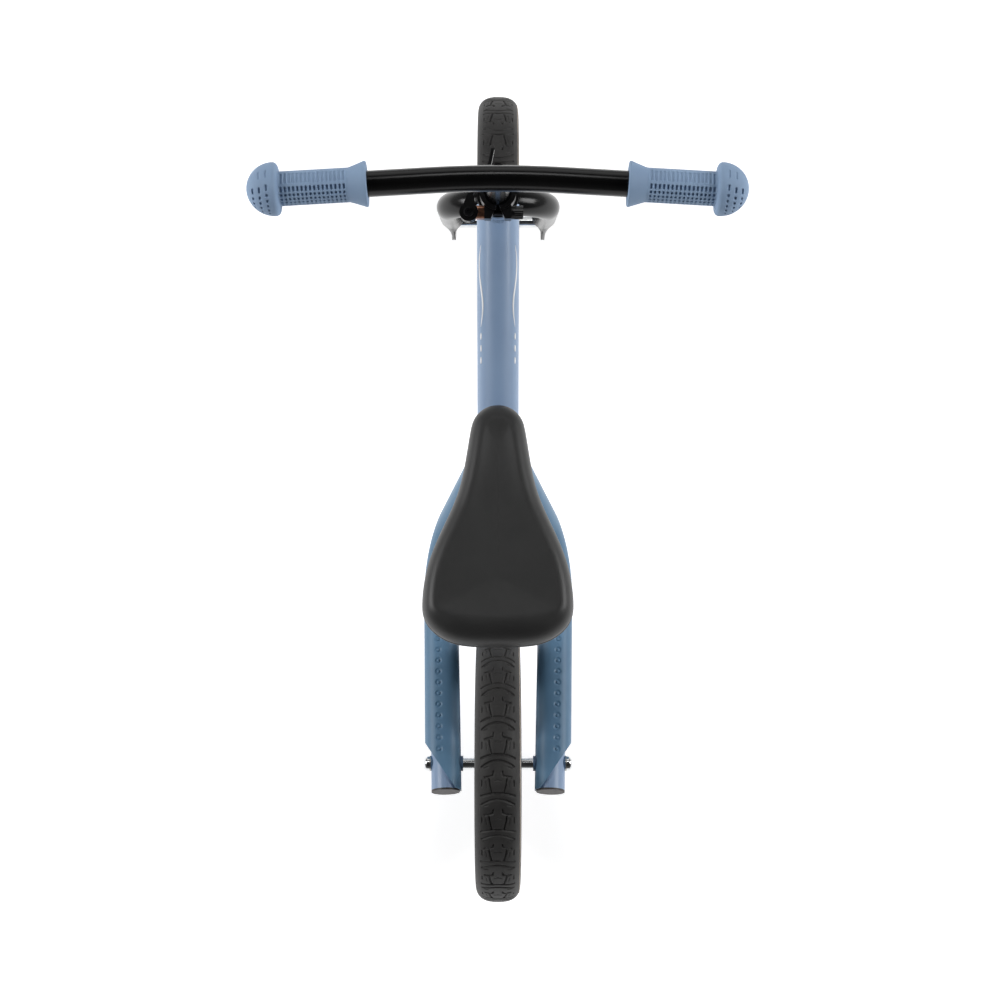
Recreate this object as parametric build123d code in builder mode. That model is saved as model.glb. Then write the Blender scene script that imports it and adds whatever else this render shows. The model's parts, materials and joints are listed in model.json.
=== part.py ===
"""Balance bike: a child's two-wheeled bike without pedals.

Frame: +X to the rider's right, +Y forward, +Z up. The origin is on the ground,
half-way between the wheels. Millimetres. One STEP file per piece in parts/.
"""
from build123d import *
import math
import os

os.makedirs("parts", exist_ok=True)

# ---- driving dimensions ------------------------------------------------------
# wheels
wheelbase = 626
tyre_radius = 141
tyre_width = 46
rim_seat_radius = 103
rim_flange_height = 5.5
rim_width = 36
rim_flange_thickness = 3
rim_depth = 10
tyre_crown_share = 0.8
tyre_crown_drop = 5
hub_radius = 17
hub_width = 40
spoke_count = 10
spoke_width = 11
spoke_thickness = 14
bearing_radius = 11
bearing_width = 7
bearing_shoulder = 2

# axles
axle_radius = 4
axle_sleeve_radius = 6.5
rear_dropout_gap = 74
front_dropout_gap = 100
axle_bolt_head_radius = 7.5
axle_bolt_head_height = 5.5
axle_bolt_shank_radius = 2.5
axle_bolt_shank_length = 14
axle_bolt_edge_radius = 3.3
hex_recess_radius = 3
hex_recess_depth = 3
axle_washer_radius = 8
axle_washer_thickness = 1.5

# steering
head_angle = 70
fork_offset = 10
steerer_radius = 12.7
steerer_wall = 1.55
crown_height = 140
leg_spacing = 104
leg_radius = 14
leg_wall = 1.8
crown_bend_radius = 50
leg_squash_top = 58
leg_squash_bottom = 10
dropout_width = 42
dropout_thickness = 4.4
head_tube_low = 224
head_tube_length = 82
head_tube_radius = 18
head_tube_wall = 3
cup_radius = 19.5
cup_height = 10
cup_skirt_length = 10
headset_ball_ring_height = 5
lock_nut_height = 6
lock_nut_radius = 16.5
lock_nut_gap = 1
crown_race_height = 4
race_inset = 2.5
cup_bore_gap = 1
ball_ring_gap = 0.5
ring_chamfer = 0.8
steerer_sink = 22
crown_seat_sink = 8

# quick-release collar at the top of the steerer
collar_height = 26
collar_radius = 17
collar_slot = 3
ear_depth = 13
ear_width = 12.5
ear_height = 20
ear_notch_half_width = 6.5
ear_notch_depth = 12
pinch_bolt_radius = 2.5
pinch_bolt_offset = 18
cam_radius = 8.6
cam_height = 14
cam_slot = 5.8
barrel_radius = 4.5
barrel_height = 18
cam_seat_length = 6
cam_seat_size = (12, 16)
cam_seat_corner = 3
cam_clearance = 0.3
qr_nut_radius = 6.2
qr_nut_length = 11
qr_nut_rim = 3
knurl_radius = 1.4
knurl_circle = 7
knurl_count = 12
bolt_end_setback = 1
lever_thickness = 3
lever_gap = 1.5
lever_bend_radius = 8
lever_root_shift = 1.5
lever_neck_radius = 3
lever_neck_setback = 1.4
lever_lean = 58
lever_front_x = -7.5
lever_tip = (-4.6, 39.6)

# handlebar
stem_radius = 11.1
stem_wall = 1.8
stem_bottom = 230
bar_height_on_axis = 449.5
bar_half_width = 213
bar_sweep_back = 13.4
bar_bend_radius = 900
grip_length = 102.5
grip_radius = 14.5
grip_flange_radius = 19.4
grip_flange_length = 15.5
grip_ball_radius = 22.5
grip_ball_length = 27.5
grip_end_wall = 4
grip_dome_shoulder = (4.6, 16.2)
grip_dome_widest = 18

# frame
main_tube_radius = 21
main_tube_wall = 1.8
main_tube_slope = 24
main_tube_on_head = 252.7
seat_node_y = -58
seat_angle = 70
seat_tube_radius = 15
seat_tube_up = 50
seat_tube_down = 45
seat_post_radius = 12.7
seat_post_wall = 1.8
seat_post_length = 122
seat_post_insertion = 80
seat_clamp_radius = 19.5
seat_clamp_height = 16
seat_clamp_lip = 2
seat_clamp_ear = 8
seat_clamp_ear_depth = 12
seat_clamp_bolt_gap = 7.5
seat_clamp_head_radius = 4.25
seat_clamp_head_height = 5
seat_clamp_hex_radius = 2.3
seat_clamp_hex_depth = 2.8
seat_clamp_nut_radius = 4.6
post_gap = 0.5
stay_radius = 15
stay_wall = 1.8
stay_half_spacing = 55.8
stay_spread = 6.5
stay_tail = 28
stay_rise = 8
stay_bend_y = -76
stay_bend_radius = 72
stay_top_y = -5
boss_radius = 8
boss_proud = 0.2
pad_radius = 19
pad_shift = 2.5
pad_flat = 17.6
pad_skirt = 4
pad_notch = 1
pad_cut_angle = 52
pad_cut_from_end = 17
dome_radius = 3.2
dome_height = 1.3
dome_pitch = 12
dome_count = 13
first_dome = 40
dome_shift = 5.6
plug_lip = 2

# saddle
saddle_nose_ahead = 102.1
saddle_length = 234
saddle_half_width = 70.4
saddle_nose_radius = 26
saddle_nose_turn = 10
saddle_waist_half_width = 37.5
saddle_waist_station = 86
saddle_widest_station = 195.5
saddle_tail_corner = (56, 11)
saddle_above_post = 39
cushion_thickness = 26
cushion_edge_height = 10
cushion_edge_inset = 9
saddle_base_thickness = 5
saddle_base_inset = 4
rail_radius = 3.5
rail_spacing = 44
rail_drop = 11
saddle_clamp_width = 56
saddle_clamp_length = 45
saddle_clamp_height = 20
saddle_clamp_shift = 5.5
saddle_clamp_corner = 5
saddle_clamp_cover = 4
saddle_bolt_ahead = 22
saddle_bolt_drop = 7.5
rail_bend_radius = 20
rail_front_spacing = 20
rail_stations = (32, 62, 140, 185)
saddle_bolt_radius = 3
saddle_nut_radius = 5.8
saddle_nut_height = 5

# fits
running_clearance = 0.05
sliding_clearance = 0.1
face_clearance = 0.1

# ---- derived placing -----------------------------------------------------------
front_axle_y = wheelbase / 2
rear_axle_y = -wheelbase / 2
head_sin = math.sin(math.radians(head_angle))
head_cos = math.cos(math.radians(head_angle))
seat_sin = math.sin(math.radians(seat_angle))
seat_cos = math.cos(math.radians(seat_angle))
slope_tan = math.tan(math.radians(main_tube_slope))

# Steering plane: local z runs up the steering axis, local y points forward, and
# local z = 0 is level with the front axle.
steer = Plane(
    origin=(
        0,
        front_axle_y - fork_offset * head_sin,
        tyre_radius - fork_offset * head_cos,
    ),
    x_dir=(1, 0, 0),
    z_dir=(0, -head_cos, head_sin),
)

# Main tube: starts on the steering axis and slopes down towards the seat tube.
main_front = steer.from_local_coords((0, 0, main_tube_on_head))
main_direction = Vector(0, -math.cos(math.radians(main_tube_slope)),
                        -math.sin(math.radians(main_tube_slope)))
seat_node_z = main_front.Z + (seat_node_y - main_front.Y) * slope_tan
main_tube_length = (main_front.Y - seat_node_y) / math.cos(math.radians(main_tube_slope))
main_plane = Plane(origin=main_front, x_dir=(1, 0, 0), z_dir=main_direction)

# Seat plane: local z runs up the seat tube.
seat = Plane(
    origin=(0, seat_node_y, seat_node_z),
    x_dir=(1, 0, 0),
    z_dir=(0, -seat_cos, seat_sin),
)

steerer_bore = steerer_radius - steerer_wall
head_bore = head_tube_radius - head_tube_wall
head_tube_high = head_tube_low + head_tube_length
crown_top = crown_height + leg_spacing / 2 + leg_radius
race_radius = cup_radius - race_inset
lower_race_low = head_tube_low - cup_height - headset_ball_ring_height
upper_race_low = head_tube_high + cup_height + face_clearance
collar_low = upper_race_low + headset_ball_ring_height + lock_nut_height + lock_nut_gap
collar_high = collar_low + collar_height
collar_middle = (collar_low + collar_high) / 2
axle_y = fork_offset


def keep(piece, label):
    """Name a finished piece and write its STEP file."""
    piece.part.label = label
    export_step(piece.part, f"parts/{label}.step")


# ---- wheels --------------------------------------------------------------------
def wheel_plane(y):
    """Plane across a wheel: local x runs fore and aft, local z along +X."""
    return Plane(origin=(0, y, tyre_radius), x_dir=(0, 1, 0), z_dir=(1, 0, 0))


def make_wheel(end, y):
    """Tyre, moulded wheel and bearing pair of one wheel, centred at (0, y)."""
    axle = Axis((0, y, tyre_radius), (1, 0, 0))
    section = Plane(origin=(0, y, tyre_radius), x_dir=(1, 0, 0), z_dir=(0, -1, 0))
    tyre_foot = rim_width / 2 - rim_flange_thickness
    flange_radius = rim_seat_radius + rim_flange_height
    half = tyre_width / 2
    widest = (rim_seat_radius + tyre_radius) / 2

    with BuildPart() as tyre:
        with BuildSketch(section):
            with BuildLine():
                Line((0, rim_seat_radius), (tyre_foot, rim_seat_radius))
                Line((tyre_foot, rim_seat_radius), (tyre_foot, flange_radius))
                Spline(
                    (tyre_foot, flange_radius),
                    (half, widest),
                    (half * tyre_crown_share, tyre_radius - tyre_crown_drop),
                    (0, tyre_radius),
                    tangents=[(1, 0.6), (-1, 0)],
                )
                mirror(about=Plane.YZ)
            make_face()
        revolve(axis=axle)
    keep(tyre, f"{end}_tyre")

    with BuildPart() as core:
        with BuildSketch(section):
            with Locations((0, rim_seat_radius - rim_depth / 2)):
                Rectangle(rim_width, rim_depth)
            with Locations((rim_width / 2 - rim_flange_thickness / 2, rim_seat_radius)):
                Rectangle(rim_flange_thickness, 2 * rim_flange_height)
            with Locations((-rim_width / 2 + rim_flange_thickness / 2, rim_seat_radius)):
                Rectangle(rim_flange_thickness, 2 * rim_flange_height)
        revolve(axis=axle)
        with BuildSketch(wheel_plane(y)):
            Circle(hub_radius)
        extrude(amount=hub_width / 2, both=True)
        spoke_reach = rim_seat_radius - rim_depth / 2
        with BuildSketch(wheel_plane(y)):
            with PolarLocations(spoke_reach / 2, spoke_count):
                Rectangle(spoke_reach, spoke_width)
        extrude(amount=spoke_thickness / 2, both=True)
        with BuildSketch(wheel_plane(y)):
            Circle(bearing_radius - bearing_shoulder)
        extrude(amount=hub_width, both=True, mode=Mode.SUBTRACT)
        for side in (1, -1):
            seat_face = hub_width / 2 - bearing_width
            with BuildSketch(wheel_plane(y).offset(side * seat_face)):
                Circle(bearing_radius)
            extrude(amount=side * hub_width, mode=Mode.SUBTRACT)
    keep(core, f"{end}_wheel_core")

    with BuildPart() as bearings:
        for side in (1, -1):
            with BuildSketch(wheel_plane(y).offset(side * (hub_width / 2 - bearing_width))):
                Circle(bearing_radius)
                Circle(axle_radius + running_clearance, mode=Mode.SUBTRACT)
            extrude(amount=side * bearing_width)
    keep(bearings, f"{end}_bearings")


def make_axle(end, y, gap, grip_face):
    """Axle rod, chrome sleeves, washers and domed bolts of one wheel.

    gap is the width between the faces that the sleeves stand on, and grip_face is
    how far out the washers sit on each side.
    """
    with BuildPart() as rod:
        with BuildSketch(wheel_plane(y)):
            Circle(axle_radius)
        extrude(amount=grip_face, both=True)
        for side in (1, -1):
            with BuildSketch(wheel_plane(y).offset(side * (grip_face - axle_bolt_shank_length))):
                Circle(axle_bolt_shank_radius)
            extrude(amount=side * axle_bolt_shank_length, mode=Mode.SUBTRACT)
    keep(rod, f"{end}_axle")

    with BuildPart() as sleeves:
        for side in (1, -1):
            start = hub_width / 2 + face_clearance
            with BuildSketch(wheel_plane(y).offset(side * start)):
                Circle(axle_sleeve_radius)
                Circle(axle_radius, mode=Mode.SUBTRACT)
            extrude(amount=side * (gap / 2 - start))
    keep(sleeves, f"{end}_axle_sleeves")

    with BuildPart() as washers:
        for side in (1, -1):
            with BuildSketch(wheel_plane(y).offset(side * grip_face)):
                Circle(axle_washer_radius)
                Circle(axle_bolt_shank_radius, mode=Mode.SUBTRACT)
            extrude(amount=side * axle_washer_thickness)
    keep(washers, f"{end}_axle_washers")

    with BuildPart() as bolts:
        head_face = grip_face + axle_washer_thickness
        for side in (1, -1):
            with BuildSketch(wheel_plane(y).offset(side * head_face)):
                Circle(axle_bolt_head_radius)
            extrude(amount=side * axle_bolt_head_height)
            with BuildSketch(wheel_plane(y).offset(side * head_face)):
                Circle(axle_bolt_shank_radius)
            extrude(amount=-side * (axle_bolt_shank_length + axle_washer_thickness))
        rims = bolts.edges().filter_by(GeomType.CIRCLE).sort_by(Axis.X)
        fillet([rims[0], rims[-1]], radius=axle_bolt_edge_radius)
        for side in (1, -1):
            recess = head_face + axle_bolt_head_height - hex_recess_depth
            with BuildSketch(wheel_plane(y).offset(side * recess)):
                RegularPolygon(hex_recess_radius, 6)
            extrude(amount=side * axle_bolt_head_height, mode=Mode.SUBTRACT)
    keep(bolts, f"{end}_axle_bolts")


for wheel_end, wheel_y in (("front", front_axle_y), ("rear", rear_axle_y)):
    make_wheel(wheel_end, wheel_y)

front_grip_face = leg_spacing / 2 + dropout_thickness / 2
rear_grip_face = stay_half_spacing + stay_radius + boss_proud
boss_length = rear_grip_face - rear_dropout_gap / 2
make_axle("front", front_axle_y, leg_spacing - dropout_thickness, front_grip_face)
make_axle("rear", rear_axle_y, rear_dropout_gap, rear_grip_face)

# ---- welded frame --------------------------------------------------------------
with BuildPart() as head_tube:
    with BuildSketch(steer.offset(head_tube_low)):
        Circle(head_tube_radius)
        Circle(head_bore, mode=Mode.SUBTRACT)
    extrude(amount=head_tube_length)
keep(head_tube, "head_tube")

# Solid envelopes, used to cope one tube against another.
with BuildPart() as head_envelope:
    with BuildSketch(steer.offset(head_tube_low)):
        Circle(head_tube_radius)
    extrude(amount=head_tube_length)

with BuildPart() as seat_envelope:
    with BuildSketch(seat.offset(-seat_tube_down)):
        Circle(seat_tube_radius)
    extrude(amount=seat_tube_down + seat_tube_up)

with BuildPart() as main_envelope:
    with BuildSketch(main_plane):
        Circle(main_tube_radius)
    extrude(amount=main_tube_length)

with BuildPart() as main_tube:
    with BuildSketch(main_plane):
        Circle(main_tube_radius)
        Circle(main_tube_radius - main_tube_wall, mode=Mode.SUBTRACT)
    extrude(amount=main_tube_length)
    add(head_envelope.part, mode=Mode.SUBTRACT)
    add(seat_envelope.part, mode=Mode.SUBTRACT)
keep(main_tube, "main_tube")

with BuildPart() as seat_tube:
    with BuildSketch(seat.offset(-seat_tube_down)):
        Circle(seat_tube_radius)
        Circle(seat_post_radius + sliding_clearance, mode=Mode.SUBTRACT)
    extrude(amount=seat_tube_down + seat_tube_up)
    with BuildSketch(seat.offset(seat_tube_up - 2 * seat_clamp_height)):
        with Locations((0, -seat_tube_radius)):
            Rectangle(collar_slot, seat_tube_radius)
    extrude(amount=2 * seat_clamp_height, mode=Mode.SUBTRACT)
keep(seat_tube, "seat_tube")

# Stays: each leaves the main tube, comes out and down, bends back beside the rear wheel,
# draws in a little towards the axle and ends in a plastic plug.
stay_slope = math.tan(math.radians(stay_rise))
stay_bend_z = tyre_radius - stay_slope * (stay_bend_y - rear_axle_y)
stay_end_y = rear_axle_y - stay_tail
stay_end_z = tyre_radius + stay_slope * stay_tail
stay_splay = stay_spread / (stay_bend_y - rear_axle_y)
stay_end = Vector(stay_half_spacing - stay_splay * stay_tail, stay_end_y, stay_end_z)
stay_bend = Vector(stay_half_spacing + stay_spread, stay_bend_y, stay_bend_z)
stay_root = Vector(0, stay_top_y, main_front.Z + (stay_top_y - main_front.Y) * slope_tan)
stay_run = (stay_bend - stay_end).normalized()
stay_up = Vector(1, 0, 0).cross(stay_run).normalized()
stay_end_plane = Plane(origin=stay_end, x_dir=(1, 0, 0), z_dir=-stay_run)


def add_stay_line():
    """Centre line of the right stay, from its rear end to the main tube."""
    FilletPolyline(stay_end, stay_bend, stay_root, radius=stay_bend_radius)


with BuildPart() as right_stay:
    with BuildLine() as stay_line:
        add_stay_line()
    with BuildSketch(stay_end_plane):
        Circle(stay_radius)
    sweep(path=stay_line.wires()[0])
    with BuildSketch(stay_end_plane):
        Circle(stay_radius - stay_wall)
    sweep(path=stay_line.wires()[0], mode=Mode.SUBTRACT)
    split(bisect_by=Plane.YZ.offset(0.01), keep=Keep.TOP)
    add(main_envelope.part, mode=Mode.SUBTRACT)
    add(seat_envelope.part, mode=Mode.SUBTRACT)
    boss_start = rear_dropout_gap / 2
    with BuildSketch(wheel_plane(rear_axle_y).offset(boss_start)):
        Circle(boss_radius)
    extrude(amount=boss_length, mode=Mode.SUBTRACT)
    add(right_stay.part.solids().sort_by(SortBy.VOLUME)[-1], mode=Mode.REPLACE)
keep(right_stay, "right_stay")

with BuildPart() as left_stay:
    add(mirror(right_stay.part, about=Plane.YZ))
keep(left_stay, "left_stay")

with BuildPart() as rear_bosses:
    for side in (1, -1):
        with BuildSketch(wheel_plane(rear_axle_y).offset(side * rear_dropout_gap / 2)):
            Circle(boss_radius)
            Circle(axle_radius, mode=Mode.SUBTRACT)
        extrude(amount=side * boss_length)
keep(rear_bosses, "rear_axle_bosses")

with BuildPart() as right_plug:
    with BuildSketch(stay_end_plane):
        Circle(stay_radius)
    extrude(amount=plug_lip)
    with BuildSketch(stay_end_plane):
        Circle(stay_radius - stay_wall)
    extrude(amount=2 * boss_radius - stay_tail)
with BuildPart() as stay_plugs:
    add(right_plug.part)
    add(mirror(right_plug.part, about=Plane.YZ))
keep(stay_plugs, "stay_end_plugs")

# Footrest pads: moulded covers over the top and the outer side of the stays, with
# a row of round grip studs, cut off on a slant ahead of the plugs.
pad_cut_y = stay_end_y + pad_cut_from_end
with BuildPart() as right_pad:
    with BuildLine() as pad_line:
        add_stay_line()
    with BuildSketch(stay_end_plane):
        with Locations((pad_shift, 0)):
            Circle(pad_radius)
        with Locations((0, pad_flat + pad_radius)):
            Rectangle(4 * pad_radius, 2 * pad_radius, mode=Mode.SUBTRACT)
        with Locations((0, -pad_skirt - pad_radius)):
            Rectangle(4 * pad_radius, 2 * pad_radius, mode=Mode.SUBTRACT)
        Circle(stay_radius + running_clearance, mode=Mode.SUBTRACT)
    sweep(path=pad_line.wires()[0])
    for number in range(dome_count):
        stud = stay_end_plane.offset(-first_dome - number * dome_pitch)
        stud_base = Plane(
            origin=stud.from_local_coords((dome_shift, pad_flat - dome_height, 0)),
            x_dir=(1, 0, 0),
            z_dir=stay_up,
        )
        with BuildSketch(stud_base):
            Circle(dome_radius)
        extrude(amount=2 * dome_height)
    with BuildSketch(Plane.XY):
        with Locations(Location((stay_half_spacing, pad_cut_y), pad_cut_angle)):
            Rectangle(200, 100, align=(Align.CENTER, Align.MAX))
    extrude(amount=2 * tyre_radius, mode=Mode.SUBTRACT)
    with BuildSketch(wheel_plane(rear_axle_y)):
        Circle(axle_washer_radius + pad_notch)
    extrude(amount=wheelbase, mode=Mode.SUBTRACT)
    split(bisect_by=Plane.YZ, keep=Keep.TOP)
    add(main_envelope.part, mode=Mode.SUBTRACT)
    add(seat_envelope.part, mode=Mode.SUBTRACT)
keep(right_pad, "right_footrest_pad")

with BuildPart() as left_pad:
    add(mirror(right_pad.part, about=Plane.YZ))
keep(left_pad, "left_footrest_pad")

# ---- headset -------------------------------------------------------------------
def make_cup(label, mouth, skirt, direction):
    """Headset cup: a flanged ring whose skirt is pressed into the head tube."""
    with BuildPart() as cup:
        with BuildSketch(steer.offset(mouth)):
            Circle(cup_radius)
            Circle(race_radius + running_clearance, mode=Mode.SUBTRACT)
        extrude(amount=direction * cup_height)
        with BuildSketch(steer.offset(mouth + direction * (cup_height - cup_floor))):
            Circle(cup_radius)
            Circle(steerer_radius + cup_bore_gap, mode=Mode.SUBTRACT)
        extrude(amount=direction * cup_floor)
        with BuildSketch(steer.offset(mouth + direction * cup_height)):
            Circle(head_bore)
            Circle(steerer_radius + cup_bore_gap, mode=Mode.SUBTRACT)
        extrude(amount=direction * skirt)
    keep(cup, label)


cup_floor = cup_height - headset_ball_ring_height
make_cup("lower_headset_cup", head_tube_low - cup_height, cup_skirt_length, 1)
make_cup("upper_headset_cup", head_tube_high + cup_height, cup_skirt_length, -1)

with BuildPart() as headset_bearings:
    for ring_low in (
        head_tube_low - cup_height,
        head_tube_high + cup_height - headset_ball_ring_height,
    ):
        with BuildSketch(steer.offset(ring_low)):
            Circle(race_radius)
            Circle(steerer_radius + ball_ring_gap, mode=Mode.SUBTRACT)
        extrude(amount=headset_ball_ring_height)
keep(headset_bearings, "headset_bearings")


def make_ring(label, low, height, outer, inner):
    """Plain ring around the steering axis."""
    with BuildPart() as ring:
        with BuildSketch(steer.offset(low)):
            Circle(outer)
            Circle(inner, mode=Mode.SUBTRACT)
        extrude(amount=height)
        chamfer(ring.edges().filter_by(GeomType.CIRCLE).group_by(SortBy.RADIUS)[-1], length=ring_chamfer)
    keep(ring, label)


# ---- fork ----------------------------------------------------------------------
crown_race_low = head_tube_low - cup_height - face_clearance - crown_race_height
crown_seat_low = crown_top - crown_seat_sink
steerer_low = crown_top - steerer_sink

with BuildPart() as steerer:
    with BuildSketch(steer.offset(steerer_low)):
        Circle(steerer_radius)
    extrude(amount=collar_high - steerer_low)
    with BuildSketch(steer.offset(crown_seat_low)):
        Circle(race_radius)
    extrude(amount=crown_race_low - crown_seat_low)
    with BuildSketch(steer.offset(steerer_low)):
        Circle(steerer_bore)
    extrude(amount=collar_high, mode=Mode.SUBTRACT)
    with BuildSketch(steer.offset(collar_low)):
        with Locations((0, -steerer_radius)):
            Rectangle(collar_slot, steerer_radius)
    extrude(amount=collar_height, mode=Mode.SUBTRACT)
keep(steerer, "fork_steerer")

with BuildPart() as steerer_envelope:
    with BuildSketch(steer.offset(steerer_low)):
        Circle(steerer_radius)
    extrude(amount=collar_high - steerer_low)
    with BuildSketch(steer.offset(crown_seat_low)):
        Circle(race_radius)
    extrude(amount=crown_race_low - crown_seat_low)

leg_foot = steer.from_local_coords((leg_spacing / 2, axle_y, leg_squash_top))
leg_knee = steer.from_local_coords((leg_spacing / 2, axle_y, crown_height + leg_spacing / 2))
far_foot = steer.from_local_coords((-leg_spacing / 2, axle_y, leg_squash_top))
far_knee = steer.from_local_coords((-leg_spacing / 2, axle_y, crown_height + leg_spacing / 2))

with BuildPart() as fork_legs:
    with BuildLine() as leg_line:
        FilletPolyline(leg_foot, leg_knee, far_knee, far_foot, radius=crown_bend_radius)
    leg_section = Plane(origin=leg_foot, x_dir=(1, 0, 0), z_dir=steer.z_dir)
    with BuildSketch(leg_section):
        Circle(leg_radius)
    sweep(path=leg_line.wires()[0])
    with BuildSketch(leg_section):
        Circle(leg_radius - leg_wall)
    sweep(path=leg_line.wires()[0], mode=Mode.SUBTRACT)
    add(steerer_envelope.part, mode=Mode.SUBTRACT)
    for side in (1, -1):
        leg_centre = (side * leg_spacing / 2, axle_y)
        with BuildSketch(steer.offset(leg_squash_top)):
            with Locations(leg_centre):
                Circle(leg_radius)
        with BuildSketch(steer.offset(leg_squash_bottom)):
            with Locations(leg_centre):
                RectangleRounded(dropout_thickness, dropout_width, dropout_thickness * 0.45)
        loft()
        with BuildSketch(steer.offset(leg_squash_bottom)):
            with Locations(leg_centre):
                RectangleRounded(dropout_thickness, dropout_width, dropout_thickness * 0.45)
        extrude(amount=-leg_squash_bottom)
        with BuildSketch(wheel_plane(front_axle_y).offset(side * leg_spacing / 2)):
            Circle(dropout_width / 2)
        extrude(amount=dropout_thickness / 2, both=True)
        with BuildSketch(wheel_plane(front_axle_y).offset(side * leg_spacing / 2)):
            Circle(axle_radius)
        extrude(amount=dropout_thickness, both=True, mode=Mode.SUBTRACT)
keep(fork_legs, "fork_legs")

make_ring("crown_race", crown_race_low, crown_race_height, race_radius, steerer_radius)
make_ring(
    "upper_race", upper_race_low, headset_ball_ring_height, race_radius, steerer_radius
)
make_ring(
    "headset_lock_nut",
    upper_race_low + headset_ball_ring_height,
    lock_nut_height,
    lock_nut_radius,
    steerer_radius,
)


# ---- quick-release collar ------------------------------------------------------
def across(offset):
    """Plane across the collar's pinch bolt: local z runs along +X."""
    origin = steer.from_local_coords((offset, -pinch_bolt_offset, collar_middle))
    return Plane(origin=origin, x_dir=-steer.y_dir, z_dir=(1, 0, 0))


with BuildPart() as qr_collar:
    with BuildSketch(steer.offset(collar_low)):
        Circle(collar_radius)
    extrude(amount=collar_height)
    with BuildSketch(steer.offset(collar_middle)):
        with Locations((0, -pinch_bolt_offset)):
            Rectangle(2 * ear_width, ear_depth)
    extrude(amount=ear_height / 2, both=True)
    with BuildSketch(steer.offset(collar_low)):
        Circle(steerer_radius)
        with Locations((0, -pinch_bolt_offset)):
            Rectangle(collar_slot, 2 * pinch_bolt_offset)
    extrude(amount=collar_height, mode=Mode.SUBTRACT)
    ear_back = -pinch_bolt_offset - ear_depth / 2
    with BuildSketch(steer.offset(collar_low)):
        with BuildLine():
            Polyline(
                (-ear_notch_half_width, ear_back),
                (-collar_slot / 2, ear_back + ear_notch_depth),
                (collar_slot / 2, ear_back + ear_notch_depth),
                (ear_notch_half_width, ear_back),
                close=True,
            )
        make_face()
    extrude(amount=collar_height, mode=Mode.SUBTRACT)
    with BuildSketch(across(0)):
        Circle(pinch_bolt_radius)
    extrude(amount=2 * ear_width, both=True, mode=Mode.SUBTRACT)
keep(qr_collar, "qr_collar")

cam_centre = -(ear_width + cam_seat_length + cam_radius)
with BuildPart() as qr_bolt:
    with BuildSketch(across(cam_centre)):
        Circle(pinch_bolt_radius)
    extrude(amount=ear_width + qr_nut_length - cam_centre - bolt_end_setback)
    with BuildSketch(steer.offset(collar_middle)):
        with Locations((cam_centre, -pinch_bolt_offset)):
            Circle(barrel_radius)
    extrude(amount=barrel_height / 2, both=True)
keep(qr_bolt, "qr_bolt")

with BuildPart() as qr_nut:
    with BuildSketch(across(ear_width)):
        Circle(qr_nut_radius)
        Circle(pinch_bolt_radius, mode=Mode.SUBTRACT)
    extrude(amount=qr_nut_length)
    with BuildSketch(across(ear_width + qr_nut_length)):
        with PolarLocations(knurl_circle, knurl_count):
            Circle(knurl_radius)
    extrude(amount=qr_nut_rim - qr_nut_length, mode=Mode.SUBTRACT)
keep(qr_nut, "qr_nut")

with BuildPart() as qr_seat:
    with BuildSketch(across(-ear_width)):
        RectangleRounded(*cam_seat_size, cam_seat_corner)
        Circle(pinch_bolt_radius, mode=Mode.SUBTRACT)
    extrude(amount=-cam_seat_length - cam_radius / 2)
    with BuildSketch(steer.offset(collar_middle)):
        with Locations((cam_centre, -pinch_bolt_offset)):
            Circle(cam_radius + cam_clearance)
    extrude(amount=collar_height, both=True, mode=Mode.SUBTRACT)
keep(qr_seat, "qr_cam_seat")

# Lever: a forked cam on the barrel, a neck that tapers from it, and a flat blade that
# passes round the collar.
blade_reach = collar_radius + lever_thickness / 2 + lever_gap
lean_cos = math.cos(math.radians(lever_lean))
lean_sin = math.sin(math.radians(lever_lean))


def blade_point(x):
    """Point of the blade's straight run, which passes the collar at its gap."""
    return (x, (blade_reach + x * lean_sin) / lean_cos)


lever_neck = blade_point(cam_centre + lever_root_shift)
with BuildPart() as qr_lever:
    with BuildSketch(steer.offset(collar_middle)):
        with BuildLine():
            FilletPolyline(
                lever_neck, blade_point(lever_front_x), lever_tip, radius=lever_bend_radius
            )
        trace(line_width=lever_thickness)
    extrude(amount=cam_height / 2, both=True)
    with BuildSketch(steer.offset(collar_middle)):
        with Locations((cam_centre, -pinch_bolt_offset)):
            Circle(cam_radius - lever_neck_setback)
        with Locations(lever_neck):
            Circle(lever_neck_radius)
        make_hull()
        with Locations((cam_centre, -pinch_bolt_offset)):
            Circle(cam_radius)
    extrude(amount=cam_height / 2, both=True)
    with BuildSketch(steer.offset(collar_middle)):
        with Locations((cam_centre, -pinch_bolt_offset)):
            Circle(barrel_radius + running_clearance)
    extrude(amount=cam_height, both=True, mode=Mode.SUBTRACT)
    with BuildSketch(steer.offset(collar_middle)):
        with Locations((cam_centre, -pinch_bolt_offset)):
            Circle(cam_radius + face_clearance)
    extrude(amount=cam_slot / 2, both=True, mode=Mode.SUBTRACT)
keep(qr_lever, "qr_lever")

# ---- handlebar -----------------------------------------------------------------
bar_centre = steer.from_local_coords((0, 0, bar_height_on_axis))
bar_height = bar_centre.Z
bar_apex = Vector(0, bar_centre.Y, bar_height)
bar_tip = Vector(bar_half_width, bar_centre.Y - bar_sweep_back, bar_height)
bar_left_tip = Vector(-bar_half_width, bar_tip.Y, bar_height)
bar_out = (bar_tip - bar_apex).normalized()
bar_end = bar_tip - bar_out * grip_end_wall
bar_left_end = Vector(-bar_end.X, bar_end.Y, bar_end.Z)

with BuildPart() as bar_envelope:
    with BuildLine() as bar_line:
        FilletPolyline(bar_left_end, bar_apex, bar_end, radius=bar_bend_radius)
    with BuildSketch(Plane(origin=bar_line.line @ 0, z_dir=bar_line.line % 0)):
        Circle(stem_radius)
    sweep(path=bar_line.wires()[0])

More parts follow.
